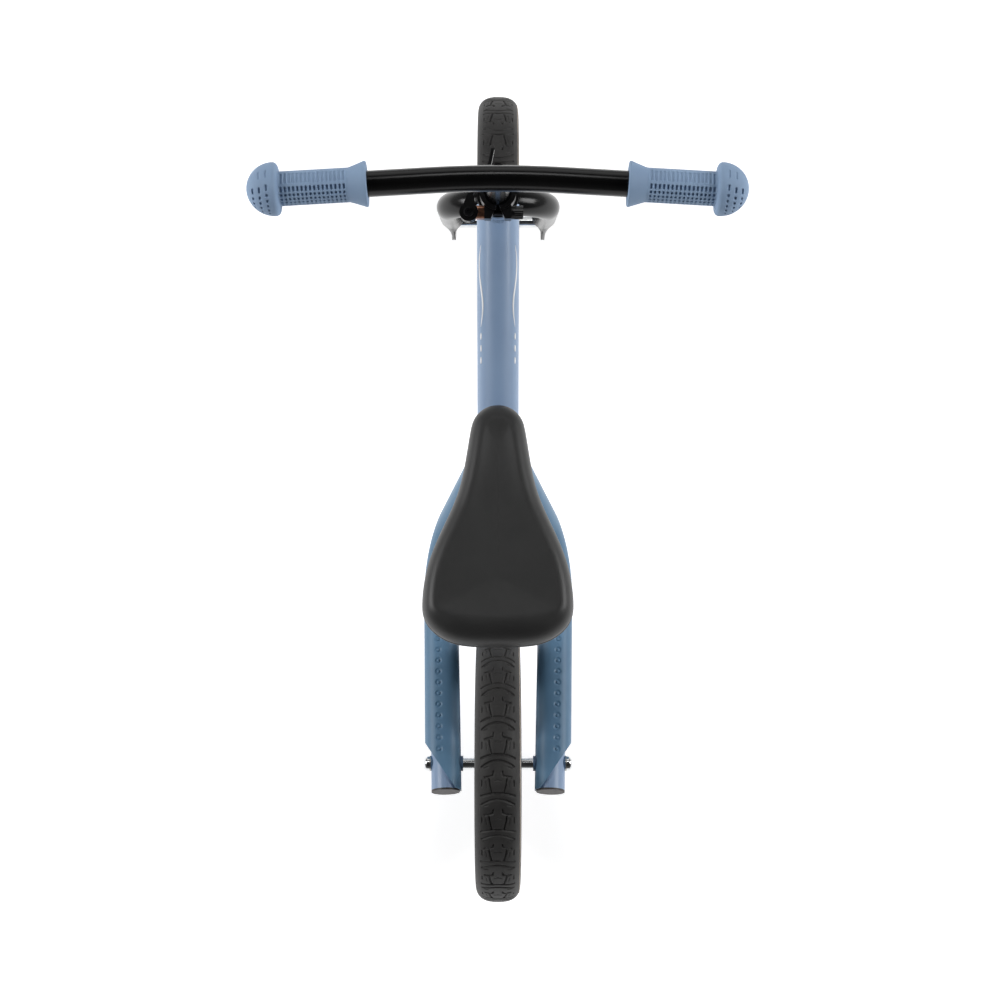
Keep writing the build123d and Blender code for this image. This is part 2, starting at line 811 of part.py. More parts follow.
with BuildPart() as handlebar:
    with BuildLine() as bar_line:
        FilletPolyline(bar_left_end, bar_apex, bar_end, radius=bar_bend_radius)
    with BuildSketch(Plane(origin=bar_line.line @ 0, z_dir=bar_line.line % 0)):
        Circle(stem_radius)
        Circle(stem_radius - stem_wall, mode=Mode.SUBTRACT)
    sweep(path=bar_line.wires()[0])
keep(handlebar, "handlebar")

with BuildPart() as stem:
    with BuildSketch(steer.offset(stem_bottom)):
        Circle(stem_radius)
        Circle(stem_radius - stem_wall, mode=Mode.SUBTRACT)
    extrude(amount=bar_height_on_axis - stem_bottom)
    add(bar_envelope.part, mode=Mode.SUBTRACT)
keep(stem, "stem")

with BuildPart() as right_grip:
    with BuildSketch(Plane(origin=bar_tip, x_dir=-bar_out, z_dir=bar_out.cross(Vector(0, 0, 1)))):
        with BuildLine():
            Spline(
                (0, 0),
                grip_dome_shoulder,
                (grip_dome_widest, grip_ball_radius),
                (grip_ball_length, grip_radius),
                tangents=[(0, 1), (0.25, -1)],
            )
            Line((grip_ball_length, grip_radius), (grip_length - grip_flange_length, grip_radius))
            Line((grip_length - grip_flange_length, grip_radius), (grip_length, grip_flange_radius))
            Line((grip_length, grip_flange_radius), (grip_length, stem_radius))
            Line((grip_length, stem_radius), (grip_end_wall, stem_radius))
            Line((grip_end_wall, stem_radius), (grip_end_wall, 0))
            Line((grip_end_wall, 0), (0, 0))
        make_face()
    revolve(axis=Axis(bar_tip, bar_out))
keep(right_grip, "right_grip")

with BuildPart() as left_grip:
    add(mirror(right_grip.part, about=Plane.YZ))
keep(left_grip, "left_grip")

# ---- seat ----------------------------------------------------------------------
clamp_low = seat_tube_up - seat_clamp_height + seat_clamp_lip
clamp_middle = clamp_low + seat_clamp_height / 2
clamp_bolt_offset = seat_tube_radius + seat_clamp_bolt_gap

with BuildPart() as seat_clamp:
    with BuildSketch(seat.offset(clamp_low)):
        Circle(seat_clamp_radius)
    extrude(amount=seat_clamp_height)
    with BuildSketch(seat.offset(clamp_middle)):
        with Locations((0, -clamp_bolt_offset + 1)):
            Rectangle(2 * seat_clamp_ear, seat_clamp_ear_depth)
    extrude(amount=seat_clamp_height / 2 - 1, both=True)
    with BuildSketch(seat.offset(clamp_low)):
        Circle(seat_tube_radius)
        with Locations((0, -seat_tube_radius)):
            Rectangle(collar_slot, 2 * seat_tube_radius)
    extrude(amount=seat_clamp_height - seat_clamp_lip, mode=Mode.SUBTRACT)
    with BuildSketch(seat.offset(clamp_low)):
        Circle(seat_post_radius + post_gap)
        with Locations((0, -seat_tube_radius)):
            Rectangle(collar_slot, 2 * seat_tube_radius)
    extrude(amount=seat_clamp_height, mode=Mode.SUBTRACT)
    clamp_bolt_plane = Plane(
        origin=seat.from_local_coords((0, -clamp_bolt_offset, clamp_middle)),
        x_dir=-seat.y_dir,
        z_dir=(1, 0, 0),
    )
    with BuildSketch(clamp_bolt_plane):
        Circle(pinch_bolt_radius)
    extrude(amount=2 * seat_clamp_ear, both=True, mode=Mode.SUBTRACT)
keep(seat_clamp, "seat_clamp")

with BuildPart() as clamp_bolt:
    with BuildSketch(clamp_bolt_plane):
        Circle(pinch_bolt_radius)
    extrude(amount=seat_clamp_ear + seat_clamp_head_height)
    with BuildSketch(clamp_bolt_plane):
        Circle(pinch_bolt_radius)
    extrude(amount=-seat_clamp_ear)
    with BuildSketch(clamp_bolt_plane.offset(-seat_clamp_ear)):
        Circle(seat_clamp_head_radius)
    extrude(amount=-seat_clamp_head_height)
    with BuildSketch(clamp_bolt_plane.offset(-seat_clamp_ear - seat_clamp_head_height)):
        RegularPolygon(seat_clamp_hex_radius, 6)
    extrude(amount=seat_clamp_hex_depth, mode=Mode.SUBTRACT)
keep(clamp_bolt, "seat_clamp_bolt")

with BuildPart() as clamp_nut:
    with BuildSketch(clamp_bolt_plane.offset(seat_clamp_ear)):
        RegularPolygon(seat_clamp_nut_radius, 6)
        Circle(pinch_bolt_radius, mode=Mode.SUBTRACT)
    extrude(amount=seat_clamp_head_height)
keep(clamp_nut, "seat_clamp_nut")

post_low = seat_tube_up - seat_post_insertion
with BuildPart() as seat_post:
    with BuildSketch(seat.offset(post_low)):
        Circle(seat_post_radius)
        Circle(seat_post_radius - seat_post_wall, mode=Mode.SUBTRACT)
    extrude(amount=seat_post_length)
keep(seat_post, "seat_post")

post_top = seat.from_local_coords((0, 0, post_low + seat_post_length))
saddle_top = post_top.Z + saddle_above_post
saddle_nose_y = post_top.Y + saddle_nose_ahead
saddle_tail_y = saddle_nose_y - saddle_length
base_low = saddle_top - cushion_thickness - saddle_base_thickness
rail_low = base_low - rail_drop
clamp_screw_y = post_top.Y + saddle_bolt_ahead
clamp_screw_z = rail_low - saddle_bolt_drop


def add_saddle_line(inset):
    """Plan outline of the saddle, drawn in from its edge by inset: a round nose, sides
    that sweep out to the widest place, and a broad rounded tail."""
    nose_radius = saddle_nose_radius - inset
    nose_centre = saddle_nose_y - saddle_nose_radius
    tail = saddle_tail_y + inset
    widest = saddle_half_width - inset
    nose_cos = math.cos(math.radians(saddle_nose_turn))
    nose_sin = math.sin(math.radians(saddle_nose_turn))
    nose_side = (nose_radius * nose_cos, nose_centre + nose_radius * nose_sin)
    ThreePointArc(
        (-nose_side[0], nose_side[1]), (0, nose_centre + nose_radius), nose_side
    )
    for side in (1, -1):
        waist = (side * (saddle_waist_half_width - inset), saddle_nose_y - saddle_waist_station)
        wide = (side * widest, saddle_nose_y - saddle_widest_station)
        Spline(
            (side * nose_side[0], nose_side[1]),
            waist,
            wide,
            tangents=[(side * nose_sin, -nose_cos), (0, -1)],
        )
        Spline(
            wide,
            (side * (saddle_tail_corner[0] - inset), saddle_tail_y + saddle_tail_corner[1] + inset),
            (0, tail),
            tangents=[(0, -1), (-side, 0)],
        )


shoulder = saddle_top - cushion_edge_height
with BuildPart() as saddle_cushion:
    with BuildSketch(Plane.XY.offset(saddle_top - cushion_thickness)):
        with BuildLine():
            add_saddle_line(0)
        make_face()
    extrude(amount=cushion_thickness - cushion_edge_height)
    with BuildSketch(Plane.XY.offset(shoulder)):
        with BuildLine():
            add_saddle_line(0)
        make_face()
    with BuildSketch(Plane.XY.offset(saddle_top)):
        with BuildLine():
            add_saddle_line(cushion_edge_inset)
        make_face()
    loft()
keep(saddle_cushion, "saddle_cushion")

with BuildPart() as saddle_base:
    with BuildSketch(Plane.XY.offset(base_low)):
        with BuildLine():
            add_saddle_line(saddle_base_inset)
        make_face()
    extrude(amount=saddle_base_thickness)
keep(saddle_base, "saddle_base")

with BuildPart() as saddle_rails:
    for side in (1, -1):
        rail_x = side * rail_spacing / 2
        rail_high = base_low + rail_radius
        with BuildLine() as rail_line:
            FilletPolyline(
                (side * rail_front_spacing / 2, saddle_nose_y - rail_stations[0], rail_high),
                (rail_x, saddle_nose_y - rail_stations[1], rail_low),
                (rail_x, saddle_nose_y - rail_stations[2], rail_low),
                (rail_x, saddle_nose_y - rail_stations[3], rail_high),
                radius=rail_bend_radius,
            )
        with BuildSketch(Plane(origin=rail_line.line @ 0, z_dir=rail_line.line % 0)):
            Circle(rail_radius)
        sweep(path=rail_line.wires()[0])
    split(bisect_by=Plane.XY.offset(base_low), keep=Keep.BOTTOM)
keep(saddle_rails, "saddle_rails")

with BuildPart() as saddle_clamp:
    with BuildSketch(Plane.XY.offset(rail_low + rail_radius + saddle_clamp_cover)):
        with Locations((0, post_top.Y + saddle_clamp_shift)):
            RectangleRounded(saddle_clamp_width, saddle_clamp_length, saddle_clamp_corner)
    extrude(amount=-saddle_clamp_height)
    add(saddle_rails.part, mode=Mode.SUBTRACT)
    with BuildSketch(seat.offset(post_low)):
        Circle(seat_post_radius)
    extrude(amount=seat_post_length, mode=Mode.SUBTRACT)
    saddle_screw = Plane(origin=(0, clamp_screw_y, clamp_screw_z), z_dir=(1, 0, 0))
    with BuildSketch(saddle_screw):
        Circle(saddle_bolt_radius)
    extrude(amount=saddle_clamp_width, both=True, mode=Mode.SUBTRACT)
keep(saddle_clamp, "saddle_clamp")

with BuildPart() as saddle_bolt:
    with BuildSketch(saddle_screw.offset(-saddle_clamp_width / 2)):
        Circle(saddle_bolt_radius)
    extrude(amount=saddle_clamp_width + saddle_nut_height)
    with BuildSketch(saddle_screw.offset(-saddle_clamp_width / 2)):
        RegularPolygon(saddle_nut_radius, 6)
    extrude(amount=-saddle_nut_height)
keep(saddle_bolt, "saddle_clamp_bolt")

with BuildPart() as saddle_nut:
    with BuildSketch(saddle_screw.offset(saddle_clamp_width / 2)):
        RegularPolygon(saddle_nut_radius, 6)
        Circle(saddle_bolt_radius, mode=Mode.SUBTRACT)
    extrude(amount=saddle_nut_height)
keep(saddle_nut, "saddle_clamp_nut")
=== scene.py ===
import json
import math

import bmesh
import bpy
import numpy as np
from mathutils import Matrix, Vector


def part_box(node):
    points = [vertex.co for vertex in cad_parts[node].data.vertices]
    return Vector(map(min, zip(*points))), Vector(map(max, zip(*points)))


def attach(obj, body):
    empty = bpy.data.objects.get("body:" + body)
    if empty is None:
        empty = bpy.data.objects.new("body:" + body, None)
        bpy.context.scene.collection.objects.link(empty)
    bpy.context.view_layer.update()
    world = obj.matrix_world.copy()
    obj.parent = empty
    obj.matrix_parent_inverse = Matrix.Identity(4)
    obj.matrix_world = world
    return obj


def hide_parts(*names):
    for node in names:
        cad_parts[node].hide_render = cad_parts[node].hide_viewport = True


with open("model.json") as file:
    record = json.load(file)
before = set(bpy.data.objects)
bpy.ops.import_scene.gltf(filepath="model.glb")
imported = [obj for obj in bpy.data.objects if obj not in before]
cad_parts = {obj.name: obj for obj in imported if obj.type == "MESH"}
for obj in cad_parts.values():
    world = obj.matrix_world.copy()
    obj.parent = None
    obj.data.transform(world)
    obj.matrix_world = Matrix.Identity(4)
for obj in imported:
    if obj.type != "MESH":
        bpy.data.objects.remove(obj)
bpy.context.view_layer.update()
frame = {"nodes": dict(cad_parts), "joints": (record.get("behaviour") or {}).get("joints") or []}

scene = bpy.context.scene
scene.view_settings.view_transform = "Standard"


def tone(red, green, blue):
    """Linear colour of a display colour given as three numbers up to 255."""
    return tuple(((v / 255 + 0.055) / 1.055) ** 2.4 if v > 10 else v / 255 / 12.92
                 for v in (red, green, blue)) + (1,)


floor_half = 6
floor_mesh = bpy.data.meshes.new("studio_floor")
floor_mesh.from_pydata(
    [(x * floor_half, y * floor_half, -0.0005) for x, y in ((-1, -1), (1, -1), (1, 1), (-1, 1))],
    [], [(0, 1, 2, 3)])
floor = bpy.data.objects.new("studio_floor", floor_mesh)
scene.collection.objects.link(floor)
floor_paper = bpy.data.materials.new("white_paper")
floor_paper.use_nodes = True
paper = floor_paper.node_tree.nodes["Principled BSDF"]
paper.inputs["Base Color"].default_value = tone(250, 250, 250)
paper.inputs["Roughness"].default_value = 0.9
paper.inputs["Specular IOR Level"].default_value = 0.1
paper.inputs["Emission Color"].default_value = (1, 1, 1, 1)
paper.inputs["Emission Strength"].default_value = 0.58
floor_mesh.materials.append(floor_paper)

world = bpy.data.worlds.new("soft_sky")
scene.world = world
world.use_nodes = True
sky_nodes, sky_links = world.node_tree.nodes, world.node_tree.links
sky_place = sky_nodes.new("ShaderNodeTexCoord")
sky_split = sky_nodes.new("ShaderNodeSeparateXYZ")
sky_ramp = sky_nodes.new("ShaderNodeValToRGB")
sky_shades = ((0.0, 0.62), (0.3, 0.42), (0.78, 0.05))
for step, (height, grey) in enumerate(sky_shades):
    shades = sky_ramp.color_ramp.elements
    shade = shades[step] if step < len(shades) else shades.new(height)
    shade.position = height
    shade.color = (grey, grey, grey, 1)
sky_front = sky_nodes.new("ShaderNodeMapRange")
sky_front.inputs["From Min"].default_value = -0.9
sky_front.inputs["From Max"].default_value = 0.6
sky_front.inputs["To Min"].default_value = 0.25
sky_front.inputs["To Max"].default_value = 1.0
sky_links.new(sky_place.outputs["Generated"], sky_split.inputs["Vector"])
sky_links.new(sky_split.outputs["Z"], sky_ramp.inputs["Fac"])
sky_links.new(sky_split.outputs["Y"], sky_front.inputs["Value"])
sky_links.new(sky_ramp.outputs["Color"], sky_nodes["Background"].inputs["Color"])
sky_links.new(sky_front.outputs["Result"], sky_nodes["Background"].inputs["Strength"])

panel_aim = Vector((0, 0, 0.25))
for label, place, size, power in (
    ("left_panel", (-2.2, 0.2, 1.9), 1.4, 44),
    ("right_panel", (2.2, 0.2, 1.9), 1.4, 44),
    ("front_panel", (0.0, 2.6, 2.0), 1.6, 6),
    ("top_panel", (0.0, 0.9, 2.6), 0.5, 3),
):
    lamp = bpy.data.lights.new(label, "AREA")
    lamp.size = size
    lamp.energy = power
    panel = bpy.data.objects.new(label, lamp)
    panel.location = place
    panel.rotation_euler = (panel_aim - Vector(place)).to_track_quat("-Z", "Y").to_euler()
    scene.collection.objects.link(panel)

camera_tilt = 14.73
camera_lens = bpy.data.cameras.new("camera")
camera_lens.lens = 49.7
camera_lens.sensor_width = 36
camera = bpy.data.objects.new("camera", camera_lens)
camera.location = (0.002, -0.415, 1.626)
camera.rotation_euler = (math.radians(camera_tilt), 0, 0)
scene.collection.objects.link(camera)
scene.camera = camera

# ---- painted frame -----------------------------------------------------------------
# Steel tubes, mitred and MIG welded, then powder coated in a satin periwinkle blue. The
# tubes are the CAD ones; the paint has a faint orange peel and drifts a little in tone.
NODES = frame["nodes"]
mm = 0.001


def finish(name, light, dark, roughness, patch, grain, grain_depth,
           metallic=0.0, coat=0.0, rough_drift=0.05, specular=0.5):
    """Material that drifts between two tones over patches, with a fine grain on it.

    patch and grain are sizes in metres, and grain_depth is the height of the grain.
    """
    made = bpy.data.materials.new(name)
    made.use_nodes = True
    nodes, links = made.node_tree.nodes, made.node_tree.links
    shader = nodes["Principled BSDF"]
    place = nodes.new("ShaderNodeTexCoord")
    drift = nodes.new("ShaderNodeTexNoise")
    drift.inputs["Scale"].default_value = 1 / patch
    drift.inputs["Detail"].default_value = 4
    ramp = nodes.new("ShaderNodeValToRGB")
    ramp.color_ramp.elements[0].position = 0.3
    ramp.color_ramp.elements[0].color = dark
    ramp.color_ramp.elements[1].position = 0.7
    ramp.color_ramp.elements[1].color = light
    polish = nodes.new("ShaderNodeMapRange")
    polish.inputs["To Min"].default_value = roughness - rough_drift
    polish.inputs["To Max"].default_value = roughness + rough_drift
    fine = nodes.new("ShaderNodeTexNoise")
    fine.inputs["Scale"].default_value = 1 / grain
    fine.inputs["Detail"].default_value = 2
    bump = nodes.new("ShaderNodeBump")
    bump.inputs["Strength"].default_value = 1
    bump.inputs["Distance"].default_value = grain_depth
    links.new(place.outputs["Object"], drift.inputs["Vector"])
    links.new(place.outputs["Object"], fine.inputs["Vector"])
    links.new(drift.outputs["Fac"], ramp.inputs["Fac"])
    links.new(ramp.outputs["Color"], shader.inputs["Base Color"])
    links.new(drift.outputs["Fac"], polish.inputs["Value"])
    links.new(polish.outputs["Result"], shader.inputs["Roughness"])
    links.new(fine.outputs["Fac"], bump.inputs["Height"])
    links.new(bump.outputs["Normal"], shader.inputs["Normal"])
    shader.inputs["Metallic"].default_value = metallic
    shader.inputs["Coat Weight"].default_value = coat
    shader.inputs["Coat Roughness"].default_value = 0.08
    shader.inputs["Specular IOR Level"].default_value = specular
    return made


def dress(material, *names):
    """Give CAD nodes their finish."""
    for node in names:
        NODES[node].data.materials.clear()
        NODES[node].data.materials.append(material)


frame_paint = finish("periwinkle_powder_coat", tone(136, 160, 190), tone(129, 152, 183), 0.44,
                     60 * mm, 0.9 * mm, 0.012 * mm, coat=0.12)
dress(frame_paint, "head_tube", "main_tube", "seat_tube", "right_stay", "left_stay")

# ---- weld beads --------------------------------------------------------------------
# A row of small overlapping ripples where each tube meets the next, laid by a MIG torch
# and painted over. Each row follows the line where two round tubes cross.
head_radius = 18 * mm
main_radius = 21 * mm
seat_radius = 15 * mm
stay_radius = 15 * mm
bead_radius = 1.9 * mm
bead_spacing = 1.7 * mm

JOINTS = {joint["name"]: joint for joint in frame["joints"]}
steer_point = Vector(JOINTS["steering"]["pos_m"])
steer_up = Vector(JOINTS["steering"]["axis"]).normalized()
seat_up = Vector(JOINTS["seat_height"]["axis"]).normalized()
rear_hub = Vector(JOINTS["rear_wheel_spin"]["pos_m"])
front_hub = Vector(JOINTS["front_wheel_spin"]["pos_m"])

main_slope = math.radians(24)
main_run = Vector((0, -math.cos(main_slope), -math.sin(main_slope)))
main_start = Vector((0, 217.17, 375.04)) * mm
seat_node = main_start + main_run * ((main_start.y + 58 * mm) / math.cos(main_slope))
stay_half_spacing, stay_spread, stay_tail = 55.8 * mm, 6.5 * mm, 28 * mm
stay_slope = math.tan(math.radians(8))
bend_ahead = -76 * mm - rear_hub.y
stay_end = rear_hub + Vector((stay_half_spacing - stay_spread * stay_tail / bend_ahead,
                              -stay_tail, stay_slope * stay_tail))
stay_bend = rear_hub + Vector((stay_half_spacing + stay_spread, bend_ahead, -stay_slope * bend_ahead))
stay_root = main_start + main_run * ((main_start.y + 5 * mm) / math.cos(main_slope))


def new_object(name, mesh):
    """Object at the origin that shows a mesh."""
    made = bpy.data.objects.new(name, mesh)
    scene.collection.objects.link(made)
    return made


def line_holder(name, points, closed):
    """Loose chain of edges for a Geometry Nodes tree to follow."""
    mesh = bpy.data.meshes.new(name)
    count = len(points)
    edges = [(i, (i + 1) % count) for i in range(count if closed else count - 1)]
    mesh.from_pydata([tuple(p) for p in points], edges, [])
    return new_object(name, mesh)


def new_tree(name, sizes):
    """Geometry Nodes tree with a named number input for each of its sizes."""
    tree = bpy.data.node_groups.new(name, "GeometryNodeTree")
    sockets = {}
    tree.interface.new_socket("Geometry", in_out="INPUT", socket_type="NodeSocketGeometry")
    for label in sizes:
        made = tree.interface.new_socket(label, in_out="INPUT", socket_type="NodeSocketFloat")
        sockets[label] = made.identifier
    tree.interface.new_socket("Geometry", in_out="OUTPUT", socket_type="NodeSocketGeometry")
    return tree, sockets, tree.nodes.new("NodeGroupInput")


def join_nodes(tree, *joins):
    """Join nodes of a tree. Each join is a node and its output, and a node and its input."""
    for source, output, target, socket in joins:
        tree.links.new(source.outputs[output], target.inputs[socket])


def end_tree(tree, copies, material, smooth=True):
    """Close a tree: its copies made real, shaded, given their material and put out."""
    chain = [copies, tree.nodes.new("GeometryNodeRealizeInstances")]
    if smooth:
        chain.append(tree.nodes.new("GeometryNodeSetShadeSmooth"))
    paint = tree.nodes.new("GeometryNodeSetMaterial")
    paint.inputs["Material"].default_value = material
    chain += [paint, tree.nodes.new("NodeGroupOutput")]
    join_nodes(tree, *((before, 0, after, 0) for before, after in zip(chain, chain[1:])))


def plain_mesh(thing):
    """What an object's modifiers make of it, as a mesh of its own."""
    bpy.context.view_layer.update()
    graph = bpy.context.evaluated_depsgraph_get()
    return bpy.data.meshes.new_from_object(thing.evaluated_get(graph))


def grow(name, holder, tree, sockets, sizes):
    """Run a tree on a holder, and keep what it makes as a plain mesh object."""
    modifier = holder.modifiers.new("grow", "NODES")
    modifier.node_group = tree
    for label, value in sizes.items():
        modifier[sockets[label]] = value
    mesh = plain_mesh(holder)
    bpy.data.objects.remove(holder)
    mesh.name = name
    return new_object(name, mesh)


bead_sizes = {"Radius": bead_radius, "Spacing": bead_spacing, "Unevenness": 0.12}
bead_tree, bead_sockets, bead_in = new_tree("weld_row", bead_sizes)
add = bead_tree.nodes.new
bead_curve = add("GeometryNodeMeshToCurve")
bead_steps = add("GeometryNodeResampleCurve")
bead_steps.mode = "LENGTH"
bead_ball = add("GeometryNodeMeshUVSphere")
bead_ball.inputs["Segments"].default_value = 8
bead_ball.inputs["Rings"].default_value = 5
bead_low, bead_high = add("ShaderNodeMath"), add("ShaderNodeMath")
bead_low.operation, bead_high.operation = "SUBTRACT", "ADD"
bead_low.inputs[0].default_value = bead_high.inputs[0].default_value = 1
bead_size = add("FunctionNodeRandomValue")
bead_size.inputs["Seed"].default_value = 7
bead_copies = add("GeometryNodeInstanceOnPoints")
join_nodes(
    bead_tree,
    (bead_in, "Geometry", bead_curve, "Mesh"),
    (bead_curve, "Curve", bead_steps, "Curve"),
    (bead_in, "Spacing", bead_steps, "Length"),
    (bead_in, "Radius", bead_ball, "Radius"),
    (bead_in, "Unevenness", bead_low, 1),
    (bead_in, "Unevenness", bead_high, 1),
    (bead_low, 0, bead_size, 2),
    (bead_high, 0, bead_size, 3),
    (bead_steps, "Curve", bead_copies, "Points"),
    (bead_ball, "Mesh", bead_copies, "Instance"),
    (bead_size, 1, bead_copies, "Scale"),
)
end_tree(bead_tree, bead_copies, frame_paint)


def across_frame(direction):
    """Two unit vectors square to a direction: the first one level."""
    level = Vector((0, 0, 1)).cross(direction)
    if level.length < 1e-6:
        level = Vector((1, 0, 0))
    level.normalize()
    return level, direction.cross(level).normalized()


def crossing(start, run, radius, target, target_run, target_radius, side, steps=96):
    """Points where a round tube's skin meets another's. side picks the near or far meeting."""
    one, two = across_frame(run)
    found = []
    for step in range(steps):
        turn = 2 * math.pi * step / steps
        foot = start + (one * math.cos(turn) + two * math.sin(turn)) * radius
        gap = foot - target
        flat_gap = gap - target_run * gap.dot(target_run)
        flat_run = run - target_run * run.dot(target_run)
        a = flat_run.dot(flat_run)
        b = 2 * flat_gap.dot(flat_run)
        c = flat_gap.dot(flat_gap) - target_radius ** 2
        inside = b * b - 4 * a * c
        if inside >= 0:
            found.append(foot + run * ((-b + side * math.sqrt(inside)) / (2 * a)))
    return found


stay_run = (stay_root - stay_bend).normalized()
weld_lines = {
    "weld_head": (crossing(main_start, main_run, main_radius, steer_point, steer_up, head_radius, 1), True),
    "weld_seat": (crossing(seat_node, -main_run, main_radius, seat_node, seat_up, seat_radius, 1), True),
}
for side, label in ((1, "right"), (-1, "left")):
    line = crossing(stay_bend, stay_run, stay_radius, seat_node, main_run, main_radius, -1)
    first = next(i for i in range(len(line)) if line[i].x > 0 and line[i - 1].x <= 0)
    line = [p for p in line[first:] + line[:first] if p.x > 0]
    weld_lines[f"weld_{label}_stay"] = ([Vector((p.x * side, p.y, p.z)) for p in line], False)
for label, (points, closed) in weld_lines.items():
    row = grow(label, line_holder(label, points, closed), bead_tree, bead_sockets, bead_sizes)
    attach(row, "frame")

# ---- pinstripe ---------------------------------------------------------------------
# A white transfer on each flank of the main tube: a slim line that swells and waves
# once, with three dashes after it. It lies a hair proud of the paint.
stripe_turn = math.radians(54)
stripe_wave = math.radians(8)
stripe_half_width = 1.2 * mm
stripe_rise = 0.12 * mm
stripe_start, stripe_length = 40 * mm, 80 * mm
dash_length, dash_pitch = 7 * mm, 12 * mm


def grid_object(name, points, wrap_rows=True, wrap_columns=True, weld=False, smooth_angle=None):
    """Closed mesh object through a grid of points, with its faces turned outwards."""
    points = np.asarray(points, float)
    rows, columns = points.shape[:2]
    index = np.arange(rows * columns).reshape(rows, columns)
    if wrap_rows:
        index = np.vstack([index, index[:1]])
    if wrap_columns:
        index = np.hstack([index, index[:, :1]])
    quads = np.stack([index[:-1, :-1], index[:-1, 1:], index[1:, 1:], index[1:, :-1]], -1)
    quads = quads.reshape(-1, 4)
    flat = points.reshape(-1, 3)
    a, b, c, d = (flat[quads[:, k]] for k in range(4))
    volume = (np.cross(b - a, c - a) * a).sum() + (np.cross(c - a, d - a) * a).sum()
    if volume < 0:
        quads = quads[:, ::-1]
    mesh = bpy.data.meshes.new(name)
    mesh.from_pydata(flat.tolist(), [], quads.tolist())
    if weld:
        work = bmesh.new()
        work.from_mesh(mesh)
        bmesh.ops.remove_doubles(work, verts=work.verts, dist=1e-6)
        bmesh.ops.recalc_face_normals(work, faces=work.faces)
        work.to_mesh(mesh)
        work.free()
    mesh.shade_smooth()
    if smooth_angle:
        mesh.set_sharp_from_angle(angle=math.radians(smooth_angle))
    return new_object(name, mesh)


def stripe_grid(start, length, half_width, wave, steps):
    """Thin closed ribbon on the main tube's skin."""
    side, top = across_frame(main_run)
    if top.z < 0:
        side, top = -side, -top
    grid = []
    for step in range(steps + 1):
        share = step / steps
        swell = max(math.sin(math.pi * share), 0.02) ** 0.5
        middle = stripe_turn + wave * math.sin(2 * math.pi * share)
        half_turn = half_width * swell / main_radius
        row = []
        for turn, lift in ((-1, -1), (-1, 1), (0, 1), (1, 1), (1, -1), (0, -1)):
            angle = middle + turn * half_turn
            reach = main_radius + lift * stripe_rise
            spot = main_start + main_run * (start + length * share)
            spot = spot + (top * math.cos(angle) + side * math.sin(angle)) * reach
            row.append(tuple(spot))
        grid.append(row)
    grid = [[tuple(np.mean(grid[0], 0))] * 6] + grid + [[tuple(np.mean(grid[-1], 0))] * 6]
    return np.array(grid)


stripe_white = finish("white_transfer", tone(238, 238, 236), tone(228, 229, 230), 0.4,
                      20 * mm, 1 * mm, 0.01 * mm)
for side, label in ((1, "right"), (-1, "left")):
    strips = [(stripe_start, stripe_length, stripe_half_width, stripe_wave, 60)]
    strips += [(stripe_start + stripe_length + (n + 0.5) * dash_pitch, dash_length,
                stripe_half_width, 0, 8) for n in range(3)]
    for number, sizes in enumerate(strips):
        grid = stripe_grid(*sizes) * (side, 1, 1)
        strip = grid_object(f"{label}_stripe_{number}", grid, wrap_rows=False, weld=True)
        strip.data.materials.append(stripe_white)
        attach(strip, "frame")

# ---- footrest pads -----------------------------------------------------------------
# Moulded plastic covers clipped over the upper half of both stays, in a deeper blue.
# Thirteen grip studs, each a bead in a round dish, run along the crowned top.
pad_radius, pad_shift = 19 * mm, 2.5 * mm
pad_flat, pad_skirt, pad_squareness = 17.6 * mm, 4 * mm, 2.5
pad_bore = 15.05 * mm
bend_radius = 72 * mm
stud_first, stud_pitch, stud_count, stud_shift = 40 * mm, 12 * mm, 13, 5.6 * mm
dish_radius, dish_depth, stud_radius, stud_rise = 3.7 * mm, 0.9 * mm, 1.9 * mm, 0.9 * mm
cut_angle, cut_setback = math.radians(55), 17 * mm
soft_cut_angle, soft_cut_setback = math.radians(74), 46 * mm
notch_radius = 9 * mm


def rounded(corners, radius, steps=4):
    """Closed outline with its corners turned into short arcs."""
    corners = [np.array(c, float) for c in corners]
    outline = []
    for i, corner in enumerate(corners):
        before, after = corners[i - 1] - corner, corners[(i + 1) % len(corners)] - corner
        reach = min(radius, 0.45 * np.linalg.norm(before), 0.45 * np.linalg.norm(after))
        first = corner + before / np.linalg.norm(before) * reach
        last = corner + after / np.linalg.norm(after) * reach
        for step in range(steps + 1):
            t = step / steps
            outline.append((1 - t) ** 2 * first + 2 * t * (1 - t) * corner + t * t * last)
    return np.array(outline)


def pad_section():
    """Outline of the pad across the stay: outward, up."""
    bore_turn = math.asin(pad_skirt / pad_bore)
    reach = np.linspace(1, -1, 96)
    shell = [(pad_shift + pad_radius * math.copysign(abs(t) ** 0.8, t),
              pad_flat * (1 - abs(t) ** (0.8 * pad_squareness)) ** (1 / pad_squareness)) for t in reach]
    bore = [(pad_bore * math.cos(t), pad_bore * math.sin(t))
            for t in np.linspace(math.pi + bore_turn, -bore_turn, 24)]
    low = [(pad_shift + side * pad_radius, -pad_skirt) for side in (-1, 1)]
    return np.array(shell + low[:1] + bore + low[1:])


